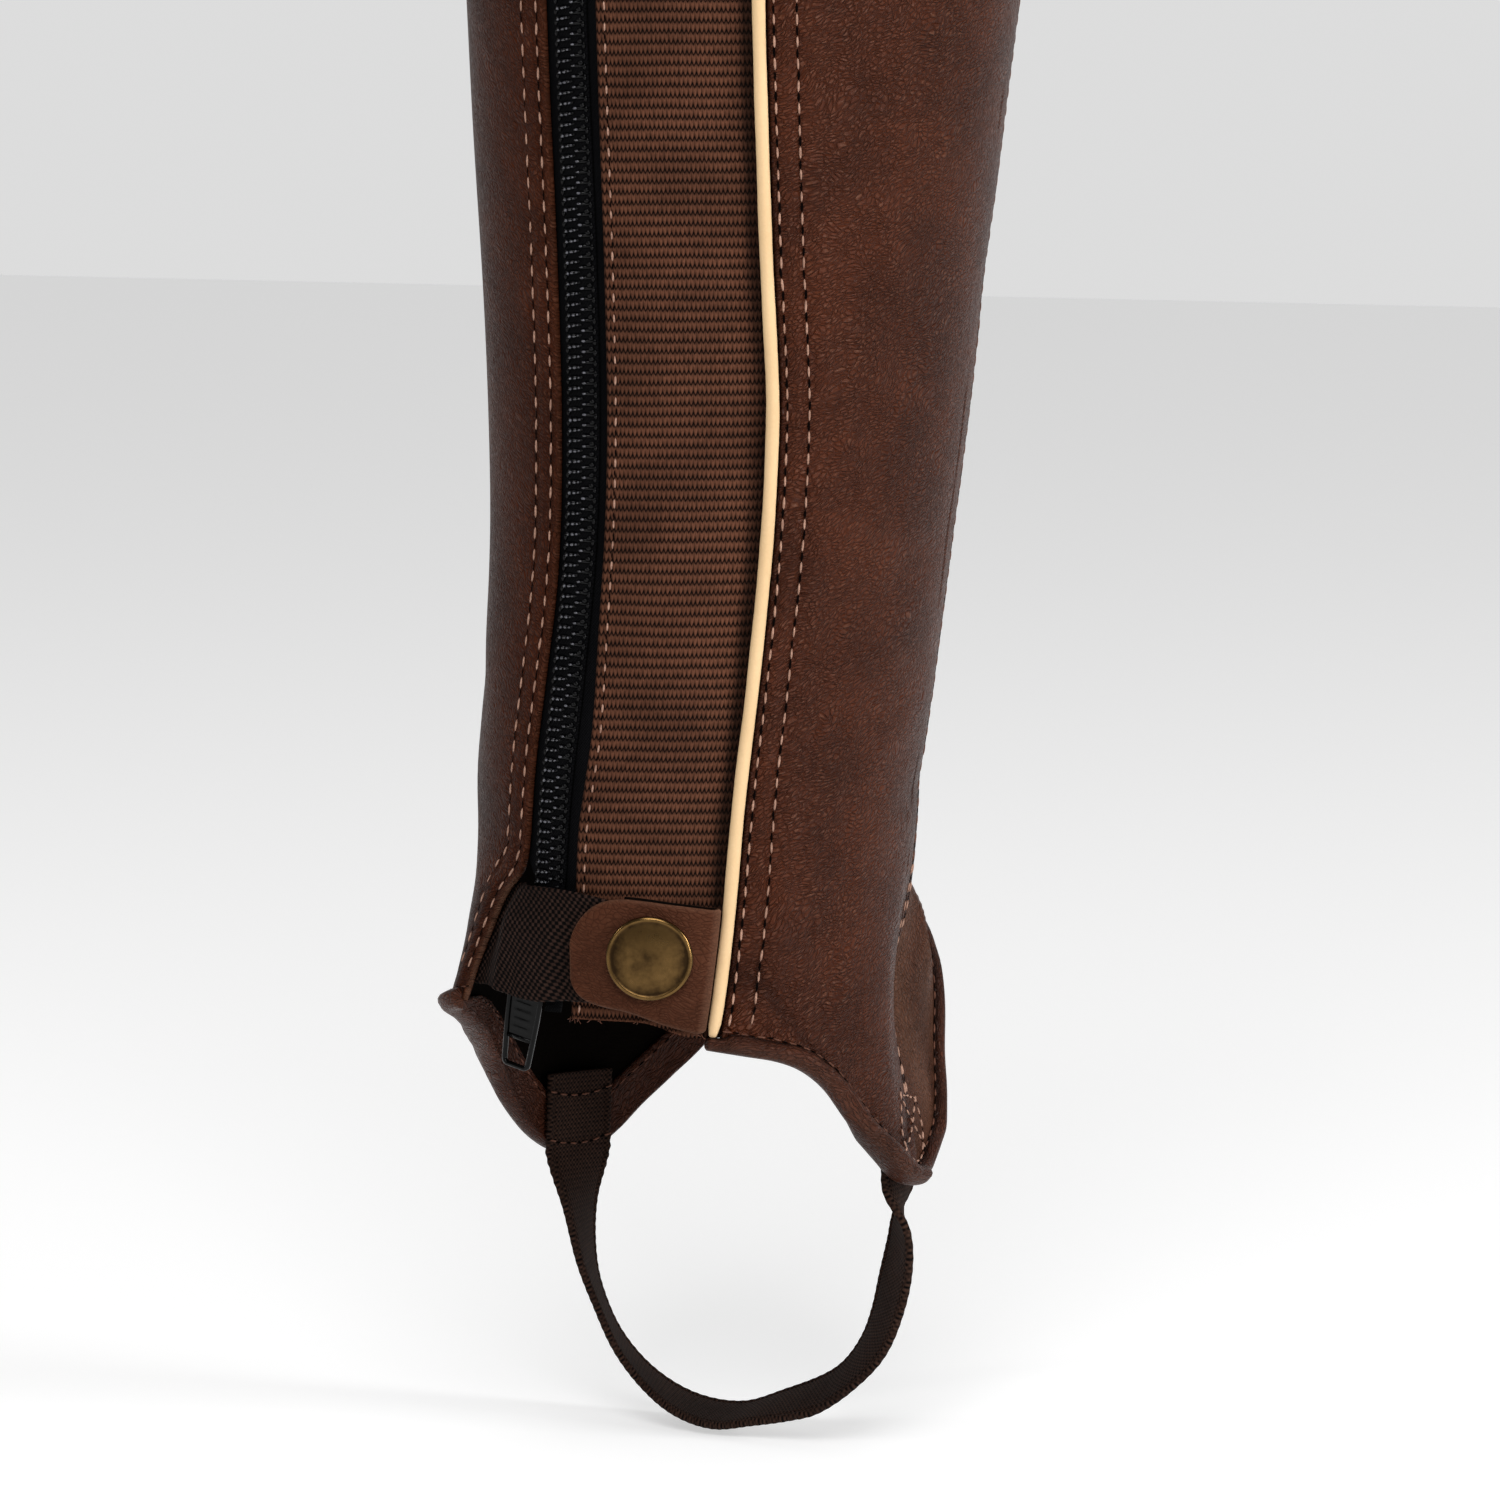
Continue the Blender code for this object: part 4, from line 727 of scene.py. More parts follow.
def sewingTree():
    # thread beads and the dark slits between them, which are painted shade for the needle holes, along every line of
    # the path
    tree = bpy.data.node_groups.new("sewnRow", "GeometryNodeTree")
    nodeSocket(tree, "Geometry", "NodeSocketGeometry")
    tree.interface.new_socket(name="Geometry", in_out="OUTPUT", socket_type="NodeSocketGeometry")
    for name, value in (("Pitch", 0.00405), ("Thread Length", 0.0022), ("Thread Width", 0.00046), ("Thread Height", 0.0004),
                        ("Slit Length", 0.0017), ("Slit Width", 0.00042), ("Unevenness", 0.12)):
        nodeSocket(tree, name, "NodeSocketFloat", value)
    nodeSocket(tree, "Seed", "NodeSocketInt", 4)
    nodeSocket(tree, "Thread", "NodeSocketMaterial")
    nodeSocket(tree, "Slit", "NodeSocketMaterial")
    group = addNode(tree, "NodeGroupInput")
    read = group.outputs
    points, rotation = alignedPoints(tree, group, read["Pitch"])
    half = calc(tree, "MULTIPLY", read["Pitch"], 0.5)
    join = addNode(tree, "GeometryNodeJoinGeometry")
    low = calc(tree, "SUBTRACT", 1.0, read["Unevenness"])
    high = calc(tree, "ADD", 1.0, read["Unevenness"])
    for key, size, offset in (("Thread", (read["Thread Length"], read["Thread Width"], read["Thread Height"]), (0.0, 0.0, 0.0)),
                              ("Slit", (read["Slit Length"], read["Slit Width"], 0.00012), (half, 0.0, 0.0))):
        wobble = addNode(tree, "FunctionNodeRandomValue", {0: (-0.02, -0.03, -0.07), 1: (0.02, 0.03, 0.07), "Seed": read["Seed"]},
                         data_type="FLOAT_VECTOR")
        turned = addNode(tree, "FunctionNodeRotateRotation", {0: rotation, 1: wobble.outputs[0]}, rotation_space="LOCAL")
        scale = addNode(tree, "FunctionNodeRandomValue", {2: low, 3: high, "Seed": read["Seed"]}, data_type="FLOAT")
        placed = addNode(tree, "GeometryNodeInstanceOnPoints", {"Points": points, "Instance": bead(tree, size, offset),
                                                                "Rotation": turned.outputs[0], "Scale": scale.outputs[1]})
        real = addNode(tree, "GeometryNodeRealizeInstances", {0: placed.outputs[0]})
        painted = addNode(tree, "GeometryNodeSetMaterial", {"Geometry": real.outputs[0], "Material": read[key]})
        tree.links.new(painted.outputs[0], join.inputs[0])
    output = addNode(tree, "NodeGroupOutput")
    tree.links.new(join.outputs[0], output.inputs[0])
    return tree


def coilTree():
    # coil teeth in two meshed rows, with the sewing cord's lumps over them; the raised lumps take a lighter material as
    # painted glints
    tree = bpy.data.node_groups.new("zipCoil", "GeometryNodeTree")
    nodeSocket(tree, "Geometry", "NodeSocketGeometry")
    tree.interface.new_socket(name="Geometry", in_out="OUTPUT", socket_type="NodeSocketGeometry")
    for name, value in (("Pitch", 0.002), ("Wire", 0.00095), ("Half Width", 0.0033)):
        nodeSocket(tree, name, "NodeSocketFloat", value)
    nodeSocket(tree, "Coil", "NodeSocketMaterial")
    nodeSocket(tree, "Crown", "NodeSocketMaterial")
    group = addNode(tree, "NodeGroupInput")
    read = group.outputs
    points, rotation = alignedPoints(tree, group, read["Pitch"])
    join = addNode(tree, "GeometryNodeJoinGeometry")
    # along (in pitches), across (in half widths), length, width, height, rise; lengths in wires
    lumps = [(0.0, -0.44, 0.95, 3.9, 0.85, -0.35), (0.5, 0.44, 0.95, 3.9, 0.85, -0.35),
             (0.3, -0.72, 1.1, 1.2, 0.9, 0.0), (0.0, -0.25, 0.52, 0.95, 0.6, 0.32),
             (0.5, 0.11, 0.5, 0.55, 0.55, 0.32), (0.42, 0.38, 0.5, 0.85, 0.6, 0.34), (0.36, 0.7, 0.62, 0.62, 0.7, 0.2),
             (0.9, -0.92, 1.5, 0.8, 0.8, -0.3), (0.1, 0.92, 1.5, 0.8, 0.8, -0.3)]
    for along, across, length, width, height, rise in lumps:
        size = [calc(tree, "MULTIPLY", read["Wire"], k) for k in (length, width, height)]
        place = (calc(tree, "MULTIPLY", read["Pitch"], along), calc(tree, "MULTIPLY", read["Half Width"], across),
                 calc(tree, "MULTIPLY", read["Wire"], rise))
        placed = addNode(tree, "GeometryNodeInstanceOnPoints", {"Points": points, "Instance": bead(tree, size, place, 8, 6),
                                                                "Rotation": rotation})
        real = addNode(tree, "GeometryNodeRealizeInstances", {0: placed.outputs[0]})
        painted = addNode(tree, "GeometryNodeSetMaterial", {"Geometry": real.outputs[0], "Material": read["Crown" if rise > 0.1 else "Coil"]})
        tree.links.new(painted.outputs[0], join.inputs[0])
    output = addNode(tree, "NodeGroupOutput")
    tree.links.new(join.outputs[0], output.inputs[0])
    return tree


def runTree(name, path, tree, values):
    # evaluates the tree on the path and keeps the result as a plain mesh
    modifier = path.modifiers.new("nodes", "NODES")
    modifier.node_group = tree
    for item in tree.interface.items_tree:
        if item.in_out == "INPUT" and item.name in values:
            modifier[item.identifier] = values[item.name]
    bpy.context.view_layer.update()
    mesh = bpy.data.meshes.new_from_object(path.evaluated_get(bpy.context.evaluated_depsgraph_get()))
    mesh.name = name
    bpy.data.objects.remove(path)
    piece = bpy.data.objects.new(name, mesh)
    bpy.context.scene.collection.objects.link(piece)
    mesh.polygons.foreach_set("use_smooth", np.ones(len(mesh.polygons), bool))
    return piece


sewing = sewingTree()
seamSewing = {"Pitch": 0.00405, "Thread Length": 0.0023, "Thread Width": 0.00048, "Thread Height": 0.00042,
              "Slit Length": 0.0019, "Slit Width": 0.0005, "Unevenness": 0.1, "Seed": 3, "Thread": seamThread, "Slit": needleHoleShade}
fullRows = np.arange(37.5, 398.0, 1.2)
stitches = {}
lines = []
for place in outerPanelValues["rows"]:
    h = fullRows
    lines.append(surfacePath(beside(pipingLine, h, 1.5 + place), h, 1.7 - 0.02))
stitches["outerPanelStitches"] = runTree("outerPanelStitches", pathObject("outerRows", lines), sewing, seamSewing)
lines = []
for place in innerPanelValues["rows"]:
    h = np.arange(44.0, 398.0, 0.6)
    a, h = seamOffset(innerEdge, h, -place)
    order = np.argsort(h)
    keep = h[order] > 46
    lines.append(surfacePath(a[order][keep], h[order][keep], -0.1 - 0.02))
stitches["innerPanelStitches"] = runTree("innerPanelStitches", pathObject("innerRows", lines), sewing,
                                         {**seamSewing, "Slit Width": 0.0003, "Seed": 8})
h = np.arange(39.0, 398.0, 1.2)
stitches["gussetStitches"] = runTree("gussetStitches", pathObject("gussetRow", [surfacePath(beside(gussetEdge, h, 2.0), h, -0.12)]), sewing,
                                     {**seamSewing, "Pitch": 0.0038, "Thread Length": 0.0017, "Thread Width": 0.00042,
                                      "Slit Length": 0.0011, "Slit Width": 0.0003, "Seed": 5})
print("seam stitches made")

# Zip chain: a dark bed with the coil's teeth on it
chainValues = {"width": 6.6, "low": 45.2, "high": 395.6}
v = chainValues
half = v["width"] / 2
section = np.array([(-half, -1.6), (-half, -0.9), (-half + 0.6, -0.35), (0, -0.45), (half - 0.6, -0.35),
                    (half, -0.9), (half, -1.6), (0, -1.6)])
rowHeights = np.arange(v["low"], v["high"], 2.0)
rings = [formPoint(beside(zipLine, h, section[:, 0]), np.full(len(section), h), section[:, 1]) for h in rowHeights]
flat = np.stack([np.stack([section[:, 0], np.full(len(section), h)], -1) for h in rowHeights])
zipBed = tubeMesh("zipBed", rings, flat, [tapeCloth])
h = np.arange(v["low"] + 1, v["high"] - 1, 1.5)
zipCoil = runTree("zipCoil", pathObject("zipPath", [surfacePath(readLine(zipLine, h), h, -0.1)]), coilTree(),
                  {"Pitch": 0.00195, "Wire": 0.00095, "Half Width": 0.0033, "Coil": coilPlastic, "Crown": coilGlints})
print("zip coil made")


# Closing band
def bandLevel(angle, height):
    edge = readLine(innerEdge, height)
    pastEdge = (angle - edge) / degreesOf(1.0, edge, height)
    middle = readLine(zipLine, height)
    offZip = np.abs(angle - middle) / degreesOf(1.0, middle, height)
    level = -3.1 + 4.3 * ease(0.4, 6.0, pastEdge)
    overSlider = (1 - ease(5.0, 9.2, offZip)) * (1 - ease(52.5, 60, height))
    level = level + (2.75 + 0.5 * ease(53, 41, height)) * overSlider
    return level + 0.25 * ease(3, 8, angle)


bandValues = {"thickness": 1.2, "start": -33.0, "end": 38.6, "columns": 110, "rows": 40, "selvedge": 0.9}
v = bandValues
columnAngles = np.linspace(v["start"], v["end"], v["columns"])
parts = (1 - np.cos(np.linspace(0, np.pi, v["rows"]))) / 2
parts = (parts + np.linspace(0, 1, v["rows"])) / 2
low, high = readLine(bandEdges, columnAngles, 1), readLine(bandEdges, columnAngles, 2)
heights = low + (high - low) * parts[:, None]
angles = np.repeat(columnAngles[None], v["rows"], 0)
level = bandLevel(angles, heights)
fromEdge = np.minimum(heights - low, high - heights)
roundOff = 0.5 * (1 - np.sqrt(np.clip(1 - (1 - np.clip(fromEdge / 0.55, 0, 1))**2, 0, 1)))
flatBand = np.stack([np.broadcast_to(columnAngles * 0.75, heights.shape), heights], -1)
ribs = 0.05 * np.sin(flatBand[..., 0] * 2 * np.pi / 0.95) * (fromEdge < v["selvedge"])
band = clothShell("closingBand", formPoint(angles, heights, level + v["thickness"] - roundOff + ribs, False),
                  formPoint(angles, heights, level + roundOff, False), flatBand, [bandCloth] * 3)

# Snap tab: one strip of leather, folded beside the piping
tabValues = {"leaf": 1.1, "front": 3.5, "back": 0.7, "fold": 41.6, "backEnd": 21.0, "rows": 30}
v = tabValues
stations = [(a, v["front"], 0.0) for a in np.concatenate([[7.2, 7.35, 7.6, 8.0, 8.6, 9.4, 10.4], np.arange(11.6, 40.9, 1.1)])]
stations += [(v["fold"], (v["front"] + v["back"]) / 2, t) for t in np.linspace(0, 180, 15)]
stations += [(a, v["back"], 180.0) for a in np.arange(40.6, v["backEnd"], -1.4)]
outside, inside, flat, wearAndPaintedLight = [], [], [], []
parts = np.linspace(0, 1, v["rows"])
run = 0.0
for k, (angle, level, turn) in enumerate(stations):
    low, high = readLine(tabEdges, angle, 1), readLine(tabEdges, angle, 2)
    height = low + (high - low) * (0.5 * parts + 0.5 * (1 - np.cos(parts * np.pi)) / 2)
    shift = (readLine(pipingLine, height) - readLine(pipingLine, 48.0)) * ease(20, v["fold"], angle)
    edgeNear = np.minimum(height - low, high - height)
    endNear = (angle - 7.2) * 0.75 if turn == 0 else 9.0
    nearest = np.minimum(edgeNear, endNear)
    drop = 0.42 * (1 - np.sqrt(np.clip(1 - (1 - np.clip(nearest / 0.5, 0, 1))**2, 0, 1)))
    radius0 = (v["front"] - v["back"]) / 2 if angle == v["fold"] and 0 <= turn <= 180 and level != v["front"] and level != v["back"] else 0.0
    fromCap = np.hypot((angle - 28.1) * 0.75, height - 49.9)
    dish = -0.16 * np.exp(-((fromCap - 8.4) / 1.2)**2) if turn == 0 else 0.0
    for side, points in ((1, outside), (-1, inside)):
        radius = side * (v["leaf"] / 2 - drop) + radius0
        t = math.radians(turn)
        centre = angle + shift
        across = radius * math.sin(t)
        points.append(formPoint(centre + degreesOf(across, centre, height), height,
                                level + radius * math.cos(t) + (dish if side == 1 else 0.0), False))
    if k:
        run += float(np.linalg.norm(outside[-1][15] - outside[-2][15]))
    flat.append(np.stack([np.full(len(parts), run), height], -1))
    # lighter at the edges and round the fold: painted highlight on the rims and the fold, with some rubbed wear
    wearAndPaintedLight.append(np.exp(-(nearest / 0.4)**2) * 0.35 + (0.55 * math.sin(math.radians(turn)) if 0 < turn < 180 else 0.0))
snapTab = clothShell("snapTab", np.array(outside), np.array(inside), np.array(flat), [tabLeather, shadedFleshSide, cutEdge], np.array(wearAndPaintedLight))
print("band and tab made")


# Press stud cap, plain and slightly domed
def turned(name, profile, level, looks, recess, segments=96):
    rings = []
    for radius, height in profile:
        turn = np.linspace(0, 2 * np.pi, segments, endpoint=False)
        reach = radius * np.cos(turn) * 43.0 / (43.0 + level)
        angle = 28.1 + degreesOf(reach, 28.1, 49.9)
        rings.append(formPoint(angle, 49.9 + radius * np.sin(turn), level + height, False))
    quads = gridQuads(len(rings), segments, closed=True)
    values = np.repeat(np.array(recess)[:, None], segments, 1)
    return fastMesh(name, np.array(rings), quads, looks, attributes={"recess": values})


capValues = {"radius": 7.95, "level": 4.35}
r = capValues["radius"]
profile = [(0.01, 0), (4.0, 0), (r - 0.5, 0), (r - 0.15, 0.06), (r, 0.3), (r, 0.8), (r - 0.08, 1.05), (r - 0.25, 1.22),
           (r - 0.45, 1.3), (r - 0.66, 1.3), (r - 0.85, 1.22), (r - 1.0, 1.12), (r - 1.2, 1.1), (r - 1.6, 1.17),
           (r - 2.6, 1.34), (r - 3.8, 1.5), (r - 5.2, 1.64), (r - 6.6, 1.73), (0.01, 1.76)]
recess = [0.6, 0.6, 0.6, 0.4, 0.1, 0, 0, 0, 0, 0.1, 0.6, 1.0, 1.0, 0.7, 0.3, 0.25, 0.4, 0.6, 0.65]
cap = turned("studCap", profile, capValues["level"], [brass], recess)

# Zip pull tab: a rim round a recessed field, a window at the foot and the eye at the crown
pivotHeight = 47.0
pivotAngle = float(readLine(zipLine, pivotHeight))
origin = formPoint(np.array(pivotAngle), np.array(pivotHeight), 0.0, False)
footPoint = formPoint(readLine(zipLine, np.array(41.0)), np.array(41.0), 0.0, False)
headPoint = formPoint(readLine(zipLine, np.array(53.0)), np.array(53.0), 0.0, False)
outward = (formPoint(np.array(pivotAngle), np.array(pivotHeight), 1.0, False) - origin) * (1, 1, 0)
outward /= np.linalg.norm(outward)
down = footPoint - headPoint
down -= outward * down.dot(outward)
down /= np.linalg.norm(down)
axle = np.cross(outward, down)


def pullPoint(across, along, level):
    return origin + axle * across + down * along + outward * level


def barAlong(points, halfWidth, low, high, closed, corners=10):
    # rounded bar through (across, down) points of the pull tab
    points = np.array(points, float)
    count = len(points)
    rings = []
    for k in range(count):
        before = points[k - 1] if k or closed else points[k]
        after = points[(k + 1) % count] if k < count - 1 or closed else points[k]
        direction = (after - before) / np.linalg.norm(after - before)
        side = np.array([-direction[1], direction[0]])
        ring = []
        for t in np.linspace(0, 2 * np.pi, corners, endpoint=False):
            sx, sz = math.cos(t), math.sin(t)
            sx, sz = math.copysign(abs(sx)**0.6, sx), math.copysign(abs(sz)**0.6, sz)
            spot = points[k] + side * halfWidth * sx
            ring.append(pullPoint(spot[0], spot[1], (low + high) / 2 + (high - low) / 2 * sz))
        rings.append(ring)
    if closed:
        rings.append(rings[0])
    return np.array(rings)


def roundOutline(outline, radius, steps=5):
    outline = np.array(outline, float)
    result = []
    for k in range(len(outline)):
        a, b, c = outline[k - 1], outline[k], outline[(k + 1) % len(outline)]
        cut = min(radius, np.linalg.norm(a - b) * 0.45, np.linalg.norm(c - b) * 0.45)
        p, q = b + (a - b) / np.linalg.norm(a - b) * cut, b + (c - b) / np.linalg.norm(c - b) * cut
        for t in np.linspace(0, 1, steps):
            result.append((1 - t)**2 * p + 2 * t * (1 - t) * b + t**2 * q)
    return result


def joinPieces(name, parts):
    with bpy.context.temp_override(active_object=parts[0], selected_editable_objects=parts, selected_objects=parts, object=parts[0]):
        bpy.ops.object.join()
    parts[0].name = name
    return parts[0]


pullOutline = [(-3.5, 0.0), (3.5, 0.0), (3.85, 0.6), (3.85, 6.0), (3.65, 11.0), (2.95, 19.3), (2.4, 19.85), (-2.4, 19.85),
               (-2.95, 19.3), (-3.65, 11.0), (-3.85, 6.0), (-3.85, 0.6)]
rim = barAlong(roundOutline(pullOutline, 0.8), 0.45, 1.8, 2.75, True)
pullParts = [fastMesh("pullRim", rim, gridQuads(len(rim), rim.shape[1], closed=True), [blackEnamel])]
for points, halfWidth, low, high in (([(-3.6, 4.6), (3.6, 4.6)], 0.5, 1.85, 2.7), ([(-3.3, 14.4), (3.3, 14.4)], 0.4, 1.85, 2.65)):
    bar = barAlong(points, halfWidth, low, high, False)
    pullParts.append(tubeMesh("pullBar", bar, np.zeros(bar.shape[:2] + (2,)), [blackEnamel]))
fieldRows = np.linspace(4.6, 14.4, 30)
fieldHalf = np.interp(fieldRows, [4.6, 6.0, 11.0, 14.4], [3.85, 3.85, 3.65, 3.4])
gripRibs = 0.07 * np.clip(np.cos((fieldRows - 9.5) * 2 * np.pi / 1.6), 0, 1) * (np.abs(fieldRows - 9.5) < 3.6)
fieldOut = np.array([[pullPoint(a, d, 2.3 + g * (abs(a) < f * 0.62)) for a in np.linspace(-f, f, 14)]
                     for d, f, g in zip(fieldRows, fieldHalf, gripRibs)])
fieldIn = np.array([[pullPoint(a, d, 1.95) for a in np.linspace(-f, f, 14)] for d, f in zip(fieldRows, fieldHalf)])
pullParts.append(clothShell("pullField", fieldOut, fieldIn, np.zeros(fieldOut.shape[:2] + (2,)), [blackEnamel] * 3))
pullTab = joinPieces("pullTab", pullParts)
print("stud cap and pull tab made")

# Turned hem round the foot
hemValues = {"binding": 1.0, "bead": 3.6, "puff": 0.95, "rings": 330, "furrow": (1.0, 0.95, 0.8, 0.35)}
# angle, inside of the outer leg, outside of the inner leg, height of the inner leg
footChannel = np.array([
    (46, 2.0, -0.1, 1.5), (49, 2.0, -0.1, 3.6), (58, 2.0, -0.1, 3.6), (67, 2.0, -0.1, 7.0), (78, 2.0, -0.1, 8.6),
    (86, 2.0, -0.1, 9.0), (92, 2.0, -2.0, 9.0), (112.6, 2.0, -2.0, 9.0), (118.5, 0.2, -1.9, 9.0),
    (150, 0.2, -1.9, 8.0), (180, 0.2, -1.9, 6.5), (210, 0.2, -1.9, 8.0), (240, 0.2, -1.9, 8.6),
    (306, 0.2, -1.9, 8.0), (317, 0.2, -1.9, 5.5), (325, 0.2, -1.9, 2.4), (336, 0.2, -1.9, 2.0)])
topChannel = np.array([
    (0, 0.2, -1.9, 4.5), (35, 0.2, -1.9, 4.5), (39.6, 2.0, -1.9, 4.5), (50, 2.0, -1.9, 4.5), (54, 2.0, -0.1, 4.5),
    (107, 2.0, -0.1, 4.5), (112.4, 2.0, -1.9, 4.5), (129.4, 2.0, -1.9, 4.5), (134.5, 0.2, -1.9, 4.5), (360, 0.2, -1.9, 4.5)])


def beadSection(table, angle, beadHeight, binding, puff):
    # rounded section: (distance from the edge, level), from the foot of the outer leg round to the inner facing
    outer, inner, depth = (np.interp(angle, table[:, 0], table[:, k]) for k in (1, 2, 3))
    middle, half = (outer + inner) / 2, (outer - inner) / 2 + binding
    points = [(beadHeight, outer - 0.4), (beadHeight * 0.97, outer), (beadHeight * 0.93, outer + 0.45), (beadHeight * 0.88, outer + 0.8)]
    points += [(beadHeight * t, outer + binding + puff * lift) for t, lift in ((0.79, 0.3), (0.66, 0.8), (0.5, 1.0), (0.34, 0.8))]
    tip = half + puff * 0.35
    for t in np.linspace(18, 162, 13):
        points.append((1.1 - 1.5 * math.sin(math.radians(t)), middle + tip * math.cos(math.radians(t))))
    last = min(depth, 1.6)
    points += [(1.5 if depth > 1.6 else last, inner - binding)]
    points += [(last + (depth - last) * t, inner - binding) for t in (0.4, 0.8, 0.97)]
    points += [(depth, inner - binding * 0.7), (depth, inner), ((binding + depth) / 2, inner), (binding, inner), (binding, outer),
               ((binding + beadHeight) / 2, outer)]
    return np.array(points)


v = hemValues
hemTurns = np.concatenate([np.linspace(41.9, 45.2, 14), np.linspace(45.8, 333.3, v["rings"])])
rings, flat, wearAndPaintedLight = [], [], []
run = 0.0
for k, (angle, height, turn, rise) in enumerate(zip(hemTurns, *edgeFrame(hemTurns, hemHeight))):
    beadHeight = np.interp(angle, (46, 48), (2.5, 3.6)) * (1 + 0.05 * math.sin(angle * 0.4) + 0.02 * math.sin(angle * 1.1 + 1))
    puff = v["puff"] * (1 + 0.15 * math.sin(angle * 0.29) + 0.05 * math.sin(angle * 0.8)) * float(ease(43.6, 49, angle))
    section = beadSection(footChannel, angle, beadHeight, v["binding"], puff)
    nose = math.sqrt(min(1.0, 0.5 + (angle - 41.9) / 1.1))
    section = section.mean(0) + (section - section.mean(0)) * nose
    rings.append(formPoint(angle + turn * section[:, 0], height + rise * section[:, 0], section[:, 1]))
    if k:
        run += float(np.linalg.norm(rings[-1][8] - rings[-2][8]))
    around = np.concatenate([[0], np.cumsum(np.linalg.norm(np.diff(rings[-1], axis=0), axis=1))])
    flat.append(np.stack([around, np.full(len(section), run)], -1))
    # painted highlight: a faint lighter band along the bead's rounded crown
    wearAndPaintedLight.append(np.exp(-((np.arange(len(section)) - 9) / 3.0)**2) * 0.12)
# painted shade: the furrow values darken the first points along the bead's upper edge, and the last points on the inner
# facing
ringShade = np.zeros(len(section))
ringShade[:4], ringShade[-2:] = v["furrow"], 0.6
hem = tubeMesh("hem", rings, np.array(flat), [hemLeather], np.array(wearAndPaintedLight), ringShade)

# Top binding
topStart = float(readLine(gussetEdge, 402.0)) + 0.4
topEnd = 360 + float(readLine(innerEdge, 402.0)) - 0.4
rings, flat, wearAndPaintedLight = [], [], []
run = 0.0
for k, angle in enumerate(np.linspace(topStart, topEnd, 260)):
    section = beadSection(topChannel, angle, 4.5, 1.0, 0.3)
    section[:, 0] = np.maximum(section[:, 0], -0.35)
    rings.append(formPoint(np.full(len(section), angle), 402.0 - section[:, 0], section[:, 1]))
    if k:
        run += float(np.linalg.norm(rings[-1][8] - rings[-2][8]))
    around = np.concatenate([[0], np.cumsum(np.linalg.norm(np.diff(rings[-1], axis=0), axis=1))])
    flat.append(np.stack([around, np.full(len(section), run)], -1))
topBinding = tubeMesh("topBinding", rings, np.array(flat), [hemLeather])
print("hem and binding made")

# Foot strap
strapValues = {"width": 16.8, "thickness": 1.3, "level": -3.95, "innerAngle": -104.5, "outerAngle": 117.0,
               "selvedge": 1.25, "scallop": 1.9, "rings": 420}
# x, y, height, yaw and tilt of the strap's width
strapRoute = [
    (45.3, -3.3, -8.8, 17, -1), (43.4, -2.7, -18.7, 28, 1), (40.5, -2.4, -26.2, 34, 1),
    (35.3, -2.4, -35.1, 35, 2), (27.9, -2.8, -42.0, 31, 1), (19.5, -3.6, -46.2, 22, 1),
    (10.0, -4.6, -47.3, 13, 5), (1.0, -6.0, -44.9, 7, 13), (-7.2, -7.2, -42.2, 5, 21),
    (-12.4, -8.0, -39.6, 10, 27), (-17.7, -9.1, -34.5, 23, 29), (-21.8, -10.1, -28.3, 39, 27),
    (-24.1, -11.0, -21.1, 47, 23), (-25.7, -11.8, -13.0, 48, 14), (-25.7, -12.3, -6.6, 42, 3)]
v = strapValues
half = v["width"] / 2
across = np.concatenate([np.linspace(-half, -half + 1.9, 10), np.linspace(-half + 2.6, half - 2.6, 18), np.linspace(half - 1.9, half, 10)])


def sewnRow(angle, height, side):
    return formPoint(angle + side * degreesOf(across, angle, height), np.full(len(across), height), np.full(len(across), v["level"]), False)


rows = [sewnRow(v["innerAngle"], h, -1) for h in (18.0, 12.0, 6.0, 1.5)]
for x, y, height, yaw, tilt in strapRoute:
    yaw, tilt = math.radians(yaw), math.radians(tilt)
    width = np.array([math.sin(yaw) * math.cos(tilt), -math.cos(yaw) * math.cos(tilt), math.sin(tilt)])
    rows.append(np.array([x, y, height]) + across[:, None] * width)
rows += [sewnRow(v["outerAngle"], h, 1) for h in (0.0, 6.0, 12.0, 17.0)]
rows = np.array(rows)
lengths = np.concatenate([[0], np.cumsum(np.linalg.norm(np.diff(rows[:, len(across) // 2], axis=0), axis=1))])
fine = np.linspace(0, lengths[-1], v["rings"])
middle = np.stack([np.stack([smoothLine(lengths, rows[:, c, k], fine) for k in range(3)], -1) for c in range(len(across))], 1)
runWay, sideWay = np.gradient(middle, axis=0), np.gradient(middle, axis=1)
normal = np.cross(runWay, sideWay)
normal /= np.linalg.norm(normal, axis=-1, keepdims=True)
sideWay /= np.linalg.norm(sideWay, axis=-1, keepdims=True)
fromSide = half - np.abs(across)
selvedge = 0.5 * v["thickness"] * (0.86 + 0.24 * np.exp(-((fromSide - 0.6) / 0.45)**2) - 0.36 * np.exp(-((fromSide - 1.5) / 0.28)**2))
selvedge = selvedge * np.sqrt(np.clip(1 - (1 - np.clip(fromSide / 0.5, 0, 1))**2, 0.02, 1))
lumps = 0.5 + 0.5 * np.sin(fine * 2 * np.pi / v["scallop"])
crossRib = 0.045 * np.sin(fine * 2 * np.pi / 0.92)[:, None] * (fromSide > 1.7)
thick = selvedge[None] * (1 + 0.12 * lumps[:, None] * (fromSide < 1.2)) + crossRib
push = np.sign(across)[None] * 0.22 * lumps[:, None] * (fromSide < 0.35)
middle = middle + sideWay * push[..., None]
flat = np.stack(np.broadcast_arrays(across[None], fine[:, None]), -1)
strap = clothShell("footStrap", middle + normal * thick[..., None], middle - normal * thick[..., None], flat, [strapCloth] * 3)
print("foot strap made")

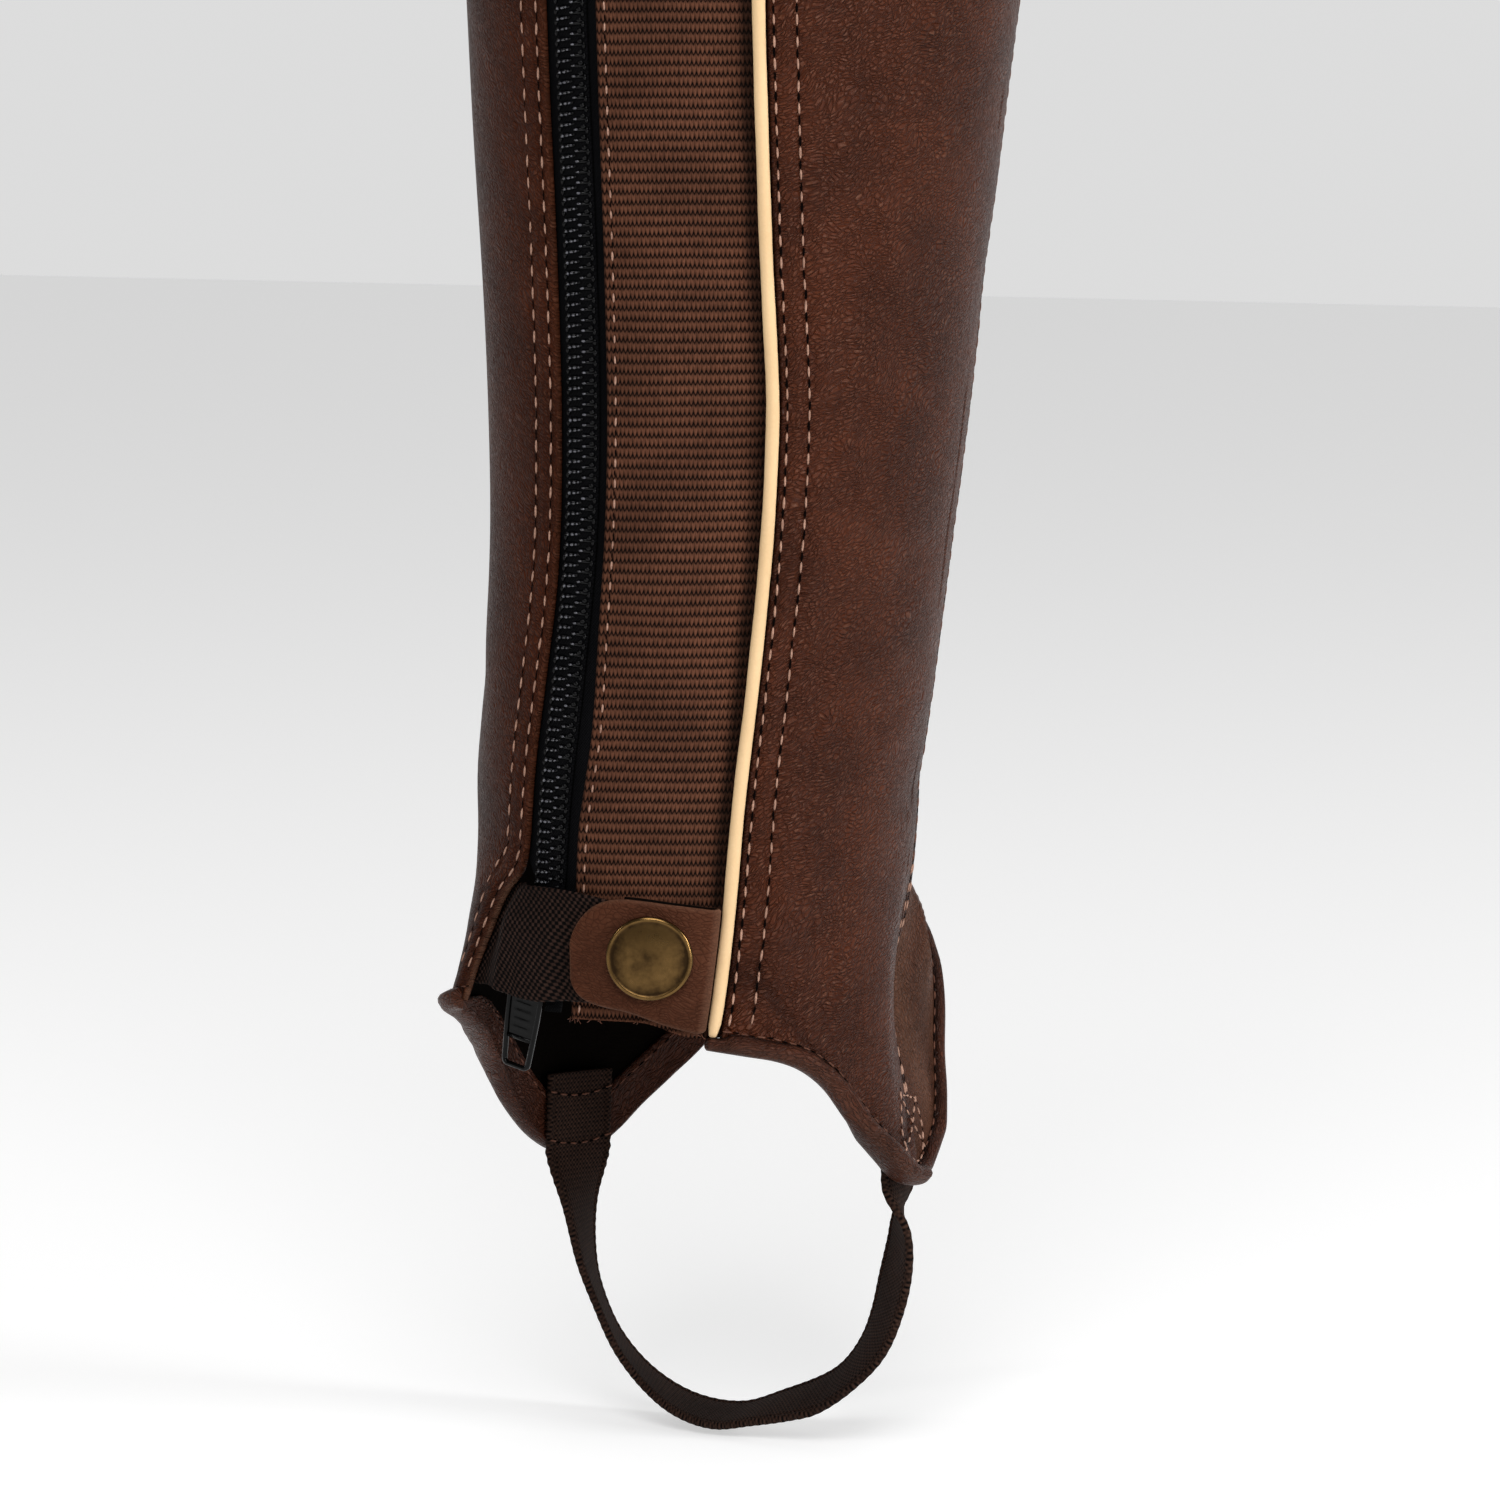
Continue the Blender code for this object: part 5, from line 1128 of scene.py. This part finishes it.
# Stitches of the hem, the front seam, the box on the outer lobe and the strap
edge = insetLine(3.75, 0.5)
a = np.arange(47.5, 333, 0.7)
inset = np.interp(wrapAngle(a), edge[:, 0], edge[:, 1])
overLap = np.interp(a, footChannel[:, 0], footChannel[:, 1])
hemRow = surfacePath(a, inset, overLap - 0.1)
b = np.arange(70, 312, 0.7)
height, turn, rise = edgeFrame(b, hemHeight)
depth = np.interp(b, footChannel[:, 0], footChannel[:, 3]) - 1.2
facingRow = surfacePath(b + turn * depth, height + rise * depth, np.interp(b, footChannel[:, 0], footChannel[:, 2]) - 1.02, -1)
stitches["hemStitches"] = runTree("hemStitches", pathObject("hemRow", [hemRow, facingRow]), sewing,
                                  {**seamSewing, "Pitch": 0.0034, "Thread Length": 0.0019, "Thread Width": 0.00042, "Slit Length": 0.0014,
                                   "Slit Width": 0.00034, "Seed": 12, "Thread": darkThread})
h = np.arange(19.5, 62.0, 1.2)
frontSewing = {**seamSewing, "Pitch": 0.0034, "Thread Length": 0.0021, "Slit Width": 0.0003, "Seed": 21}
lines = [surfacePath(beside(frontSeam, h, -place), h, 1.68) for place in (1.2, 2.8)]
stitches["frontSeamStitches"] = runTree("frontSeamStitches", pathObject("frontRows", lines), sewing, frontSewing)
h = np.arange(64.0, 398.0, 1.2)
lines = [surfacePath(beside(frontSeam, h, -place), h, 1.66) for place in (1.2, 2.8)]
stitches["upperSeamStitches"] = runTree("upperSeamStitches", pathObject("frontRows", lines), sewing, {**frontSewing, "Thread": darkThread, "Thread Height": 0.0003})


def boxLines(level, side):
    corners = np.array([(106.5, 18.8), (112.5, 18.0), (119.0, 16.6), (119.4, 12.5), (117.6, 8.6), (114.5, 6.2), (110.5, 5.6), (106.0, 7.6),
                        (104.2, 11.5), (105.0, 15.5), (106.5, 18.8)])
    crossing = [np.array([(106.5, 18.8), (117.6, 8.0)]), np.array([(119.0, 16.6), (105.2, 8.6)])]
    lines = []
    for line in [corners, *crossing]:
        t = np.linspace(0, 1, len(line))
        fineT = np.linspace(0, 1, 12 * len(line))
        lines.append(surfacePath(np.interp(fineT, t, line[:, 0]), np.interp(fineT, t, line[:, 1]), level, side))
    return lines


stitches["boxStitches"] = runTree("boxStitches", pathObject("boxRows", boxLines(1.7, 1)), sewing,
                                  {**seamSewing, "Pitch": 0.0023, "Thread Length": 0.0016, "Thread Width": 0.00042, "Slit Length": 0.0008,
                                   "Slit Width": 0.0003, "Seed": 30, "Thread": seamThread})
strapLines = []
for angle, rowsAt, side in ((strapValues["innerAngle"], (4.6, 14.4), -1), (strapValues["outerAngle"], (5.0, 14.0), 1)):
    for place in rowsAt:
        reach = np.linspace(-7.6, 7.6, 24)
        strapLines.append(surfacePath(angle + degreesOf(reach, angle, place), place + 0.02 * (7.6**2 - reach**2) * -1, strapValues["level"] - 0.72, -1))
stitches["strapStitches"] = runTree("strapStitches", pathObject("strapRows", strapLines), sewing,
                                    {**seamSewing, "Pitch": 0.0027, "Thread Length": 0.0019, "Thread Width": 0.00045, "Slit Length": 0.001,
                                     "Seed": 31, "Thread": darkThread})
a = np.linspace(topStart + 0.6, topEnd - 0.6, 500)
overLap = np.interp(a, topChannel[:, 0], topChannel[:, 1])
stitches["bindingStitches"] = runTree("bindingStitches", pathObject("bindingRow", [surfacePath(a, np.full(len(a), 402.0 - 3.6), overLap + 1.0)]), sewing,
                                      {**seamSewing, "Pitch": 0.0036, "Seed": 40, "Thread": darkThread})
print("hem, seam and strap stitches made")

# Loose thread ends at the gusset's raw foot and at the tab's corner
random.seed(7)
hairs = []
for place, level, count, length in (((4.8, 37.2), -0.6, 8, 1.2), ((11.0, 37.0), -0.6, 4, 0.7), ((25.0, 37.0), -0.6, 4, 0.7), ((39.5, 35.4), 2.6, 5, 1.0)):
    for _ in range(count):
        angle, height = place[0] + random.uniform(-1.6, 2.6), place[1] + random.uniform(-0.2, 0.5)
        lean, curl = random.uniform(-1.2, 1.2), random.uniform(-0.5, 0.9)
        reach = length * random.uniform(0.5, 1.0)
        t = np.linspace(0, 1, 6)
        hairs.append(formPoint(angle + lean * t * t, height - reach * t, level + curl * t * (1 - t) * 2 + random.uniform(0, 0.5), False))
rings = []
hairParts = []
for k, line in enumerate(hairs):
    direction = np.gradient(line, axis=0)
    direction /= np.linalg.norm(direction, axis=1, keepdims=True)
    side = np.cross(direction, (0.3, 1, 0.1))
    side /= np.linalg.norm(side, axis=1, keepdims=True)
    other = np.cross(direction, side)
    ring = [line + 0.07 * (side * math.cos(t) + other * math.sin(t)) for t in np.linspace(0, 2 * np.pi, 5, endpoint=False)]
    ring = np.stack(ring, 1)
    hairParts.append(tubeMesh("hair", ring, np.zeros(ring.shape[:2] + (2,)), [darkThread]))
looseThreads = joinPieces("looseThreads", hairParts)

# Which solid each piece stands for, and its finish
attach(pullTab, "pull")
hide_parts("pull_tab")
standsFor = [
    (outerPanel, ["outer_panel"], "brown_leather"), (innerPanel, ["inner_panel"], "brown_leather"),
    (gusset, ["gusset"], "brown_elastic"), (piping, ["piping"], "cream_leather"),
    (tapes["tapeInner"], ["tape_inner"], "black_tape"), (tapes["tapeOuter"], ["tape_outer"], "black_tape"),
    (zipBed, ["zip_chain"], "black_tape"), (zipCoil, [], "black_plastic"), (band, ["band"], "dark_elastic"),
    (snapTab, ["snap_tab"], "tab_leather"), (cap, ["snap_cap"], "antique_brass"), (hem, ["hem"], "brown_leather"),
    (topBinding, ["top_binding"], "brown_leather"), (strap, ["strap"], "dark_elastic"),
    (looseThreads, [], "brown_elastic")]
standsFor += [(piece, [], "cream_leather") for piece in stitches.values()]
for piece, nodes, finish in standsFor:
    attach(piece, "chap")
    if nodes:
        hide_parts(*nodes)
for node, look in (("zip_slider", blackEnamel), ("snap_post", brass)):
    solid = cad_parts[node]
    for k in range(len(solid.material_slots)):
        solid.material_slots[k].material = look
print("pieces placed on their bodies")

# Floor, light and camera
floorMesh = bpy.data.meshes.new("floor")
floorMesh.from_pydata([(-6, -6, -0.37), (6, -6, -0.37), (6, 6, -0.37), (-6, 6, -0.37)], [], [(0, 1, 2, 3)])
floor = bpy.data.objects.new("floor", floorMesh)
bpy.context.scene.collection.objects.link(floor)
floorLook, floorTree, floorShader = startMaterial("pale floor", 0.9)
floorShader.inputs["Base Color"].default_value = (0.6, 0.6, 0.6, 1)
floorShader.inputs["Emission Color"].default_value = (1, 1, 1, 1)
floorShader.inputs["Emission Strength"].default_value = 0.5
floorMesh.materials.append(floorLook)

lightValues = {"backdrop": 0.72, "room": 0.08, "backdropTowards": (0.587, -0.81, 0.0), "lamps": [
    # name, place, aim, size, power
    ("front", (-1.05, 1.55, 1.25), (0, 0, -0.15), 1.2, 33.0),
    ("right", (-1.75, -0.45, 0.35), (0, 0, -0.15), 0.4, 17.0),
    ("sheen", (-1.95, 0.3, -0.28), (0, 0, -0.25), 0.22, 9.0),
    ("left", (1.0, 1.75, 0.45), (0, 0, -0.15), 0.2, 4.0),
    ("top", (-0.4, 0.6, 1.9), (0, 0, -0.37), 1.4, 12.0)]}
cameraValues = {"aim": (0.001416, 0.0, -0.235854), "place": (-0.75906, 1.0467, -0.1090), "lens": 162.24}
camera = bpy.data.objects.new("camera", bpy.data.cameras.new("camera"))
bpy.context.scene.collection.objects.link(camera)
camera.data.lens = cameraValues["lens"]
camera.data.sensor_width = 36
camera.location = cameraValues["place"]
towards = Vector(cameraValues["aim"]) - Vector(cameraValues["place"])
camera.rotation_euler = towards.to_track_quat("-Z", "Y").to_euler()
bpy.context.scene.camera = camera

world = bpy.data.worlds.new("studio")
bpy.context.scene.world = world
world.use_nodes = True
sky = world.node_tree
direction = addNode(sky, "ShaderNodeTexCoord").outputs["Generated"]
facing = addNode(sky, "ShaderNodeVectorMath", {0: direction, 1: lightValues["backdropTowards"]}, operation="DOT_PRODUCT").outputs["Value"]
glow = spread(sky, facing, 0.1, 0.85, lightValues["room"], lightValues["backdrop"])
sky.links.new(glow, sky.nodes["Background"].inputs[1])
sky.nodes["Background"].inputs[0].default_value = (1, 1, 1, 1)
bpy.context.scene.view_settings.view_transform = "Standard"

for name, place, aim, size, power in lightValues["lamps"]:
    light = bpy.data.objects.new(name, bpy.data.lights.new(name, "AREA"))
    bpy.context.scene.collection.objects.link(light)
    light.data.size = size
    light.data.energy = power
    light.location = place
    light.rotation_euler = (Vector(aim) - Vector(place)).to_track_quat("-Z", "Y").to_euler()

print("scene made")
